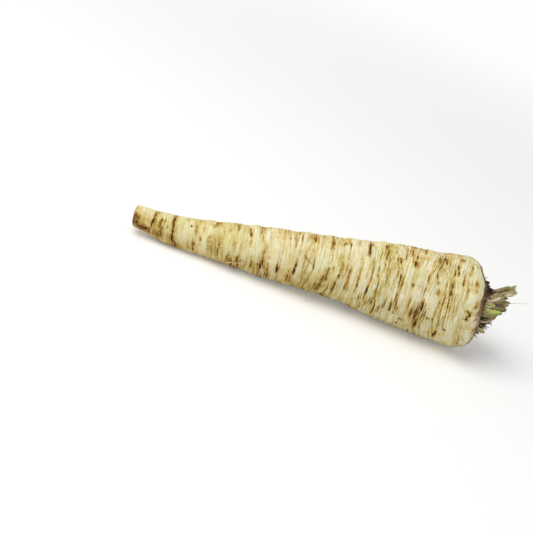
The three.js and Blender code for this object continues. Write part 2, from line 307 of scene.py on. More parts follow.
# %% Closed skins from rings of points
def ring_faces(rings, first_index):
    """Corner lists for one closed skin of rings, shape (rows, columns, 3): quads between neighbouring
    rings, and a fan at each end to one more point. The order of corners makes the faces point outwards:
    it is turned round where the skin's volume, the sum of its corners' triple products, is negative."""
    rows, columns = rings.shape[:2]
    here = np.arange(rows * columns).reshape(rows, columns) + first_index
    beside = np.roll(here, -1, axis=1)
    quads = np.stack([here[:-1], beside[:-1], beside[1:], here[1:]], axis=-1).reshape(-1, 4)
    low_end = np.full(columns, first_index + rows * columns)
    low = np.stack([low_end, beside[0], here[0]], axis=-1)
    high = np.stack([low_end + 1, here[-1], beside[-1]], axis=-1)
    around = np.roll(rings, -1, axis=1)
    middle = rings.mean(axis=(0, 1))
    triple = np.cross(rings[:-1] - middle, around[:-1] - middle) * (around[1:] - middle)
    if triple.sum() < 0:
        quads, low, high = quads[:, ::-1], low[:, ::-1], high[:, ::-1]
    return quads, np.concatenate([low, high])


def with_ends(values):
    """Values at the points of a skin, in one list, then their means over the first and the last ring,
    which are the values of the two end points."""
    flat = values.reshape(-1, *values.shape[2:])
    return [flat, values[0].mean(axis=0)[None], values[-1].mean(axis=0)[None]]


def join_skins(skins):
    """The points, quads, fans and attributes of a list of skins, one skin after the other."""
    points, quads, fans, start = [], [], [], 0
    fields = {key: [] for key in skins[0][1]}
    for rings, values in skins:
        points += with_ends(rings)
        for key, value in values.items():
            fields[key] += with_ends(np.broadcast_to(value, rings.shape[:2] + np.shape(value)[2:]))
        skin_quads, skin_fans = ring_faces(rings, start)
        quads.append(skin_quads)
        fans.append(skin_fans)
        start += rings[..., 0].size + 2
    fields = {key: np.concatenate(parts) for key, parts in fields.items()}
    return np.concatenate(points), np.concatenate(quads), np.concatenate(fans), fields


# %% From skins to an object
def make_piece(name, skins, material, replaced=()):
    """One object from a list of skins. Each skin is (rings in mm, {attribute: values}), with one value,
    or three for a place, at each point of the rings. The object rides on the root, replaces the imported
    pieces named in replaced, and has a material slot if it is given one."""
    points, quads, fans, fields = join_skins(skins)
    corners = np.concatenate([quads.ravel(), fans.ravel()])
    starts = np.concatenate([np.arange(len(quads)) * 4, len(quads) * 4 + np.arange(len(fans)) * 3])
    mesh = bpy.data.meshes.new(name)
    mesh.vertices.add(len(points))
    mesh.vertices.foreach_set("co", (points * MM).astype(np.float32).ravel())
    mesh.loops.add(len(corners))
    mesh.loops.foreach_set("vertex_index", corners.astype(np.int32))
    mesh.polygons.add(len(starts))
    mesh.polygons.foreach_set("loop_start", starts.astype(np.int32))
    mesh.update(calc_edges=True)
    mesh.shade_smooth()
    for key, values in fields.items():
        kind, socket = ("FLOAT_VECTOR", "vector") if values.ndim == 2 else ("FLOAT", "value")
        data = mesh.attributes.new(key, kind, "POINT").data
        data.foreach_set(socket, values.astype(np.float32).ravel())
    mesh.materials.append(material)
    piece = bpy.data.objects.new(name, mesh)
    scene.collection.objects.link(piece)
    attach(piece, "root")
    if replaced:
        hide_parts(*replaced)
    print(f"{name}: {2 * len(quads) + len(fans)} triangles")


# %% [markdown]
# ## Shared effects: grain, specks and tissue colours
# Plant tissue shows long thin streaks, because its fibres run one way. A noise pattern that is
# squeezed across the fibres gives them. The same group serves the skin, where streaks run round the
# root, and the stalks, where they run along. It reads the attribute grain, which is each point's
# place on the piece as if the piece were straight, so the streaks follow every bend.

# %% Shader groups
STREAKS_INPUTS = {
    "Place": ("Vector", None), "Stretch": ("Vector", (1000, 60, 60)),
    "Low": ("Float", 0.3), "High": ("Float", 0.7),
}
SPECKS_INPUTS = {
    "Place": ("Vector", None), "Scale": ("Float", 700.0), "Size": ("Float", 0.2), "Spread": ("Float", 0.55),
}
PATCH_SCALE = 130.0  # of the noise that says where specks lie


def new_group(name, inputs, outputs):
    """An empty shader group. inputs and outputs are {name: (socket type, default)}."""
    group = bpy.data.node_groups.new(name, "ShaderNodeTree")
    for in_out, sockets in (("INPUT", inputs), ("OUTPUT", outputs)):
        for key, (kind, default) in sockets.items():
            socket = group.interface.new_socket(key, in_out=in_out, socket_type="NodeSocket" + kind)
            if default is not None:
                socket.default_value = default
    return group, add_node(group, "NodeGroupInput").outputs, add_node(group, "NodeGroupOutput").inputs


def streaks_group():
    """Noise on the place times Stretch, mapped from Low..High to a mask from 0 to 1."""
    group, given, result = new_group("fibre_streaks", STREAKS_INPUTS, {"Mask": ("Float", None)})
    factors = {0: given["Place"], 1: given["Stretch"]}
    scaled = add_node(group, "ShaderNodeVectorMath", factors, operation="MULTIPLY")
    settings = {"Vector": scaled.outputs[0], "Scale": 1.0, "Detail": 3.0, "Roughness": 0.55}
    noise = add_node(group, "ShaderNodeTexNoise", settings)
    limits = (given["Low"], given["High"])
    streaky = rescale(group, noise.outputs["Fac"], limits, interpolation_type="SMOOTHSTEP")
    group.links.new(streaky, result["Mask"])
    return group


def specks_group():
    """Small round grains of soil: cells whose middle is nearer than Size, kept where noise allows it."""
    group, given, result = new_group("soil_specks", SPECKS_INPUTS, {"Mask": ("Float", None)})
    place = given["Place"]
    cells = add_node(group, "ShaderNodeTexVoronoi", {"Vector": place, "Scale": given["Scale"]})
    grain = rescale(group, cells.outputs["Distance"], (given["Size"], 0))
    noise = add_node(group, "ShaderNodeTexNoise", {"Vector": place, "Scale": PATCH_SCALE, "Detail": 2.0})
    where = figure(group, "GREATER_THAN", noise.outputs["Fac"], given["Spread"])
    group.links.new(figure(group, "MULTIPLY", grain, where), result["Mask"])
    return group


def srgb(red, green, blue):
    """A colour given in steps of 255, as the linear values that Blender's nodes take."""
    share = np.array([red, green, blue]) / 255
    linear = np.where(share <= 0.04045, share / 12.92, ((share + 0.055) / 1.055) ** 2.4)
    return (*[float(c) for c in linear], 1.0)


def ramp(tree, factor, stops):
    """A colour ramp from {position: colour in steps of 255}."""
    node = add_node(tree, "ShaderNodeValToRGB", {"Fac": factor})
    elements = node.color_ramp.elements
    while len(elements) < len(stops):
        elements.new(0.5)
    for element, (position, colour) in zip(elements, sorted(stops.items())):
        element.position = position
        element.color = srgb(*colour)
    return node.outputs["Color"]


def attribute(tree, name, output="Fac"):
    """A number that the mesh carries at its points, or a place with the output Vector."""
    return add_node(tree, "ShaderNodeAttribute", attribute_name=name).outputs[output]


def mask(tree, group, place, **values):
    """A group node's mask at a place, with its own values for the group's inputs."""
    node = tree.nodes.new("ShaderNodeGroup")
    node.node_tree = group
    tree.links.new(place, node.inputs["Place"])
    for key, value in values.items():
        node.inputs[key].default_value = value
    return node.outputs["Mask"]


def blend(tree, share, first, second, how="MIX"):
    """Two colours mixed by a share, each either a socket or a colour in steps of 255."""
    node = add_node(tree, "ShaderNodeMix", data_type="RGBA", blend_type=how, clamp_factor=True)
    for socket, value in ((node.inputs[0], share), (node.inputs[6], first), (node.inputs[7], second)):
        if isinstance(value, bpy.types.NodeSocket):
            tree.links.new(value, socket)
        else:
            socket.default_value = srgb(*value) if isinstance(value, tuple) else value
    return node.outputs[2]


def weighted(tree, parts, start=0.0):
    """The sum of start and of each socket times its weight."""
    total = start
    for socket, weight in parts.items():
        node = add_node(tree, "ShaderNodeMath", {0: socket, 1: weight, 2: total}, operation="MULTIPLY_ADD")
        total = node.outputs[0]
    return total


STREAKS = streaks_group()
SPECKS = specks_group()
print("shader groups:", [group.name for group in bpy.data.node_groups])

# %% [markdown]
# ## The skin's material
# A washed parsley root is cream. Rings of cork and old creases stain it ochre and brown, and scars
# where side roots left it are nearly black. The stains have places of their own, so the mesh carries
# them as the attribute stain, and the material only breaks their edges up with finer streaks. The
# attribute cork is the dead brown tissue in the crown's trough, and weather the tanned skin at the
# crown's rim and on the cut tip. Fibres run outwards there and not round the root, so they read a
# place of their own, the attribute rays.

# %% Patterns and colours of the skin
# Stretch along the root and across it, then Low and High where they aren't the group's own.
SKIN_PATTERNS = {
    "hairlines": ((2400, 240, 240),),
    "fine": ((950, 85, 85), 0.34, 0.66),
    "broad": ((230, 60, 60),),
    "patch": ((60, 45, 45), 0.35, 0.65),
    "mottle": ((260, 150, 150),),
    "grit": ((1700, 1300, 1300),),
    "clearings": ((90, 60, 60), 0.35, 0.65),
    "golden": ((170, 120, 120), 0.52, 0.78),
}
RAY_PATTERNS = {"strands": ((1300, 1300, 130),), "bundles": ((420, 420, 160),)}
CREAM_TO_SCAR = {
    0.0: (249, 245, 222), 0.14: (240, 232, 192), 0.28: (228, 210, 150), 0.42: (208, 178, 104),
    0.56: (178, 138, 64), 0.7: (140, 96, 36), 0.85: (98, 58, 18), 1.0: (54, 29, 9),
}
ROSY, GREENISH, GOLDEN = (251, 243, 222), (245, 252, 232), (252, 232, 168)  # the skin is multiplied by these
TAN, TAN_STREAK, TAN_STAIN = (174, 124, 68), (106, 66, 32), (84, 54, 36)
DEEP_TAN, DEEP_STRAND, DEEP_PATCH = (140, 98, 56), (70, 42, 22), (112, 84, 54)
BARK, BARK_BUNDLE, BARK_PATCH, BARK_STRAND = (78, 52, 34), (168, 130, 88), (96, 68, 44), (36, 24, 15)
SOIL = (120, 86, 40)
LINES_GROW, TIP_LINES = (0.03, 0.15), 0.35  # metres over which lines grow, and how strong they are before


def pattern_masks(tree, place, patterns):
    """The masks of a table of patterns at one place: {name: socket}."""
    masks = {}
    for name, (stretch, *limits) in patterns.items():
        masks[name] = mask(tree, STREAKS, place, Stretch=stretch, **dict(zip(("Low", "High"), limits)))
    return masks


print("patterns:", [*SKIN_PATTERNS, *RAY_PATTERNS])

# %% The skin
def tanned_colour(tree, skin, rays, stain, weather):
    """Streaked tan, darker where it is stained, and deeper and fibrous where weathering is strong."""
    tanned = blend(tree, skin["fine"], TAN, TAN_STREAK)
    tanned = blend(tree, figure(tree, "MULTIPLY", stain, 1.2, clamp=True), tanned, TAN_STAIN)
    deep = blend(tree, rays["strands"], DEEP_TAN, DEEP_STRAND)
    deep = blend(tree, figure(tree, "MULTIPLY", skin["mottle"], 0.6), deep, DEEP_PATCH)
    return blend(tree, figure(tree, "POWER", weather, 3.0), tanned, deep)


def bark_colour(tree, skin, rays):
    """The brown cork of the trough: bundles of fibres, patches and dark strands."""
    bark = blend(tree, rays["bundles"], BARK, BARK_BUNDLE)
    bark = blend(tree, skin["mottle"], bark, BARK_PATCH)
    return blend(tree, figure(tree, "MULTIPLY", rays["strands"], 0.6), bark, BARK_STRAND)


def finish_material(tree, inputs):
    """The shader itself with its inputs, linked to the material's output."""
    shader = add_node(tree, "ShaderNodeBsdfPrincipled", inputs)
    add_node(tree, "ShaderNodeOutputMaterial", {"Surface": shader.outputs[0]})


def skin_material():
    """Cream to nearly black by the attribute stain and the streaks, then tanned by weather and turned
    to bark by cork. Noise is added to both before they become masks, which frays their edges."""
    material, tree = empty_material("root_skin")
    place = attribute(tree, "grain", "Vector")
    skin = pattern_masks(tree, place, SKIN_PATTERNS)
    rays = pattern_masks(tree, attribute(tree, "rays", "Vector"), RAY_PATTERNS)

    # Lines round the root, fainter in clearings and towards the tip.
    along = add_node(tree, "ShaderNodeSeparateXYZ", {"Vector": place}).outputs["X"]
    towards_crown = rescale(tree, along, LINES_GROW, (TIP_LINES, 1.0))
    lined = figure(tree, "MULTIPLY", towards_crown, weighted(tree, {skin["clearings"]: 0.9}, 0.45))
    lines = weighted(tree, {skin["fine"]: 0.7, skin["hairlines"]: 0.3}, -0.5)
    lines = figure(tree, "MULTIPLY", lines, lined)

    # From cream to scar: the plain skin's own patterns, and the stain, which the lines break up.
    texture = weighted(tree, {lines: 1.0, skin["fine"]: 0.3, skin["grit"]: 0.3}, 0.65)
    stain = figure(tree, "MULTIPLY", attribute(tree, "stain"), texture)
    plain = {lines: 0.32, skin["mottle"]: 0.13, skin["broad"]: 0.11, skin["patch"]: 0.12, skin["grit"]: 0.1}
    plain = weighted(tree, {**plain, towards_crown: -0.08}, -0.04)
    total = figure(tree, "ADD", plain, stain, clamp=True)
    colour = ramp(tree, total, CREAM_TO_SCAR)
    colour = blend(tree, 0.6, colour, blend(tree, skin["patch"], ROSY, GREENISH), "MULTIPLY")
    colour = blend(tree, skin["golden"], colour, blend(tree, 0.7, colour, GOLDEN, "MULTIPLY"))

    # Tanned and corky parts with frayed edges, and specks of soil.
    weather = attribute(tree, "weather")
    ragged = {weather: 1.5, rays["strands"]: 0.2, skin["mottle"]: 0.4, skin["grit"]: 0.25}
    weathered = rescale(tree, weighted(tree, ragged, -0.7), (0.2, 0.8))
    colour = blend(tree, weathered, colour, tanned_colour(tree, skin, rays, stain, weather))
    cork = attribute(tree, "cork")
    frayed = {cork: 1.6, rays["strands"]: 0.25, rays["bundles"]: 0.25, skin["mottle"]: 0.4}
    corky = rescale(tree, weighted(tree, frayed, -0.7), (0.3, 0.7))
    colour = blend(tree, corky, colour, bark_colour(tree, skin, rays))
    dots = mask(tree, SPECKS, place, Scale=620.0, Size=0.17, Spread=0.52)
    colour = blend(tree, figure(tree, "MULTIPLY", dots, 0.6), colour, SOIL)

    # Lines, stains and the gaps between the cork's fibres are a little sunken.
    fibrous = weighted(tree, {rays["strands"]: 0.8, rays["bundles"]: 1.2}, -1.0)
    fibrous = figure(tree, "MULTIPLY", fibrous, corky)
    height = {lines: -0.8, total: -0.9, skin["grit"]: -0.2, skin["mottle"]: -0.3, fibrous: -1.0}
    bumps = {"Height": weighted(tree, height), "Strength": 0.8, "Distance": 0.0005}
    finish_material(tree, {
        "Base Color": colour, "Roughness": rescale(tree, total, target=(0.5, 0.85)),
        "Normal": add_node(tree, "ShaderNodeBump", bumps).outputs[0],
        "Specular IOR Level": 0.28, "Subsurface Weight": 0.1, "Subsurface Scale": 0.0008,
    })
    return material


SKIN = skin_material()
print("material", SKIN.name)

# %% [markdown]
# ## The taproot
# The taproot's outline swells from the thin tip to the shoulder, turns over the rim and dips into the
# corky trough that the leaves grew from. The outline is turned round the bent axis, as on a lathe,
# and then made uneven: rings, creases, scars and lumps. They are real relief in the mesh, because
# they show along the root's edge and catch light from the side.

# %% Rows along the outline
ROWS, COLUMNS = 690, 144
FINE_STEPS = 60  # points on the fine outline for each point of the tables
TIP_STEP, CROWN_STEP = 1.1, 1.0  # how far apart rows are at the tip, against at the crown
STEP_CHANGE = (60, 120)  # the stretch of the root over which one step turns into the other
RIM_SHARE = 0.6  # the rim is the furthest point of the outline that is this share of the girth or more


def outline_rows(points, rows):
    """Distance along, radius and outward normal of each row. The rows stand at even steps of the
    outline's length, which counts for less towards the tip, where the relief is broader."""
    points = np.array(points) * (BODY_LENGTH, GIRTH_RADIUS)
    t = np.linspace(0, len(points) - 1, FINE_STEPS * len(points))
    line = np.stack([spline(points[:, 0], t), spline(points[:, 1], t)], axis=-1)
    steps = np.linalg.norm(np.diff(line, axis=0), axis=1)
    weight = TIP_STEP + (CROWN_STEP - TIP_STEP) * smooth(line[1:, 0], *STEP_CHANGE)
    walked = np.concatenate([[0], np.cumsum(steps / weight)])
    even = np.linspace(0, walked[-1], rows)
    s, r = (np.interp(even, walked, line[:, k]) for k in (0, 1))
    way = np.stack([np.gradient(s), np.gradient(r)], axis=-1)
    way /= np.linalg.norm(way, axis=1, keepdims=True)
    return s, r, np.stack([-way[:, 1], way[:, 0]], axis=-1)


row_s, row_r, row_normal = outline_rows(TIP_OUTLINE + BODY_OUTLINE + CROWN_OUTLINE, ROWS)
RIM_ROW = int(np.argmax(row_s * (row_r > RIM_SHARE * GIRTH_RADIUS)))
S = row_s[:, None]
A = np.linspace(0, 2 * np.pi, COLUMNS, endpoint=False)[None, :]
print("rows", ROWS, "rim at row", RIM_ROW)


def skin_radius(s, a):
    """The distance of the taproot's skin from its axis, without the fine relief."""
    return np.interp(s, row_s[:RIM_ROW], row_r[:RIM_ROW]) * swelling(s, a)


# %% Uneven waves and transverse streaks
def waves(s, a, pitch, turns, seed, count=28):
    """Smooth unevenness that closes on itself round the root: the sum of count cosines, each with its
    own length near pitch mm along the root, its own whole number of periods round it, up to turns, and
    its own start. Its spread about zero is 1."""
    draw = np.random.default_rng(seed)
    total = np.zeros(np.broadcast_shapes(s.shape, a.shape))
    for _ in range(count):
        length = pitch * draw.uniform(0.7, 1.5)
        periods = draw.integers(-turns, turns + 1)
        total += np.cos(2 * np.pi * s / length + periods * a + draw.uniform(0, 2 * np.pi))
    return total / math.sqrt(count / 2)


def creases(s, a, pitch, turns, seed, sharp=0.45):
    """Thin lines where the waves cross zero: 1 on the line, falling to 0 where they reach sharp."""
    return np.clip(1 - np.abs(waves(s, a, pitch, turns, seed)) / sharp, 0, 1)


# How far rings run towards the crown on the far side and on the upper side, at even steps of length.
RING_LEAN_FAR = [1.0, 1.0, 0.6, 0.6, 0.0, 1.5, 4.0, 7.0, 5.0]
RING_LEAN_UP = [-2.8, -2.4, -1.5, -1.0, 1.0, 0.6, -1.2, 0.0, 0.0]


def ring_place(s, a):
    """Which ring a point of the skin belongs to, in mm from the tip. Rings stand at a slant to the axis,
    by the two leans times cos(a) and sin(a), and they wander."""
    step = s * (len(RING_LEAN_UP) - 1) / BODY_LENGTH
    lean = spline(RING_LEAN_FAR, step) * np.cos(a) + spline(RING_LEAN_UP, step) * np.sin(a)
    inside = smooth(s, 2, 20) * (1 - smooth(s, 186, 196))
    return s - lean * inside + 0.4 * inside * waves(s, a, 30, 2, seed=11)


RING = ring_place(S, A)
print("rings lean by up to", np.abs(RING - S).max().round(1), "mm")

STREAK_REACH = 5  # how far a streak counts, in widths beyond its ends
OVERSHOOT = 1.08  # how far the taper goes on past the ends, against the streak's half length
HALO_DARK, HALO_WIDTH = 0.22, 2.6  # against the streak's own darkness and width
LIP_SHARE, LIP_WIDTH = 0.35, 2.3  # against the furrow's depth and width


def add_streak(relief, stain, near, far, width, dark):
    """Lays one streak on the skin between two ends (s, angle). Across it is a bell exp(-|x|^3), where x
    is the distance from its line in widths. Along it goes the taper, the root of 1 - u^2 with u from -1
    to 1 between the ends, which also narrows it there. Sines of the way round make it wander and swell,
    and a wide faint halo lies round it. The stain builds up towards 1, and the relief gets a furrow
    with a low lip on each side."""
    (s0, a0), (s1, a1) = near, far
    width = width * (1 - 0.2 * smooth(dark, 0.7, 1))
    reach = STREAK_REACH * width
    rows = (row_s > min(s0, s1) - reach) & (row_s < max(s0, s1) + reach)
    rows[RIM_ROW:] = False
    turn = (A - math.radians((a0 + a1) / 2) + np.pi) % (2 * np.pi) - np.pi
    u = turn / math.radians((a1 - a0) / 2) / OVERSHOOT
    taper = np.sqrt(np.clip(1 - u**2, 0, 1))
    y = turn * np.interp((s0 + s1) / 2, row_s[:RIM_ROW], row_r[:RIM_ROW])
    wander = 0.12 * np.sin(0.9 * y + s0) + 0.08 * np.sin(2.1 * y + a0)
    swollen = 1 + 0.25 * np.sin(1.3 * y + 3 * s0) + 0.15 * np.sin(2.9 * y + a1)
    line = (s0 + s1) / 2 + (s1 - s0) / 2 * np.clip(u, -1.2, 1.2) + wander
    x = (S[rows] - line) / (width * swollen)
    x = x / (0.45 + 0.55 * taper)
    along = taper**0.7 * (0.85 + 0.15 * np.sin(1.7 * y + a0))
    bell = np.exp(-np.abs(x) ** 3) * along
    halo = HALO_DARK * np.exp(-((x / HALO_WIDTH) ** 2)) * np.clip(1 - np.abs(u / 1.15) ** 3, 0, 1)
    stain[rows] = 1 - (1 - stain[rows]) * (1 - dark * np.maximum(bell, halo))
    depth = (0.08 + 0.22 * dark) * min(1.0, 0.9 / width)
    relief[rows] += depth * (LIP_SHARE * np.exp(-((x / LIP_WIDTH) ** 2)) * along - bell)


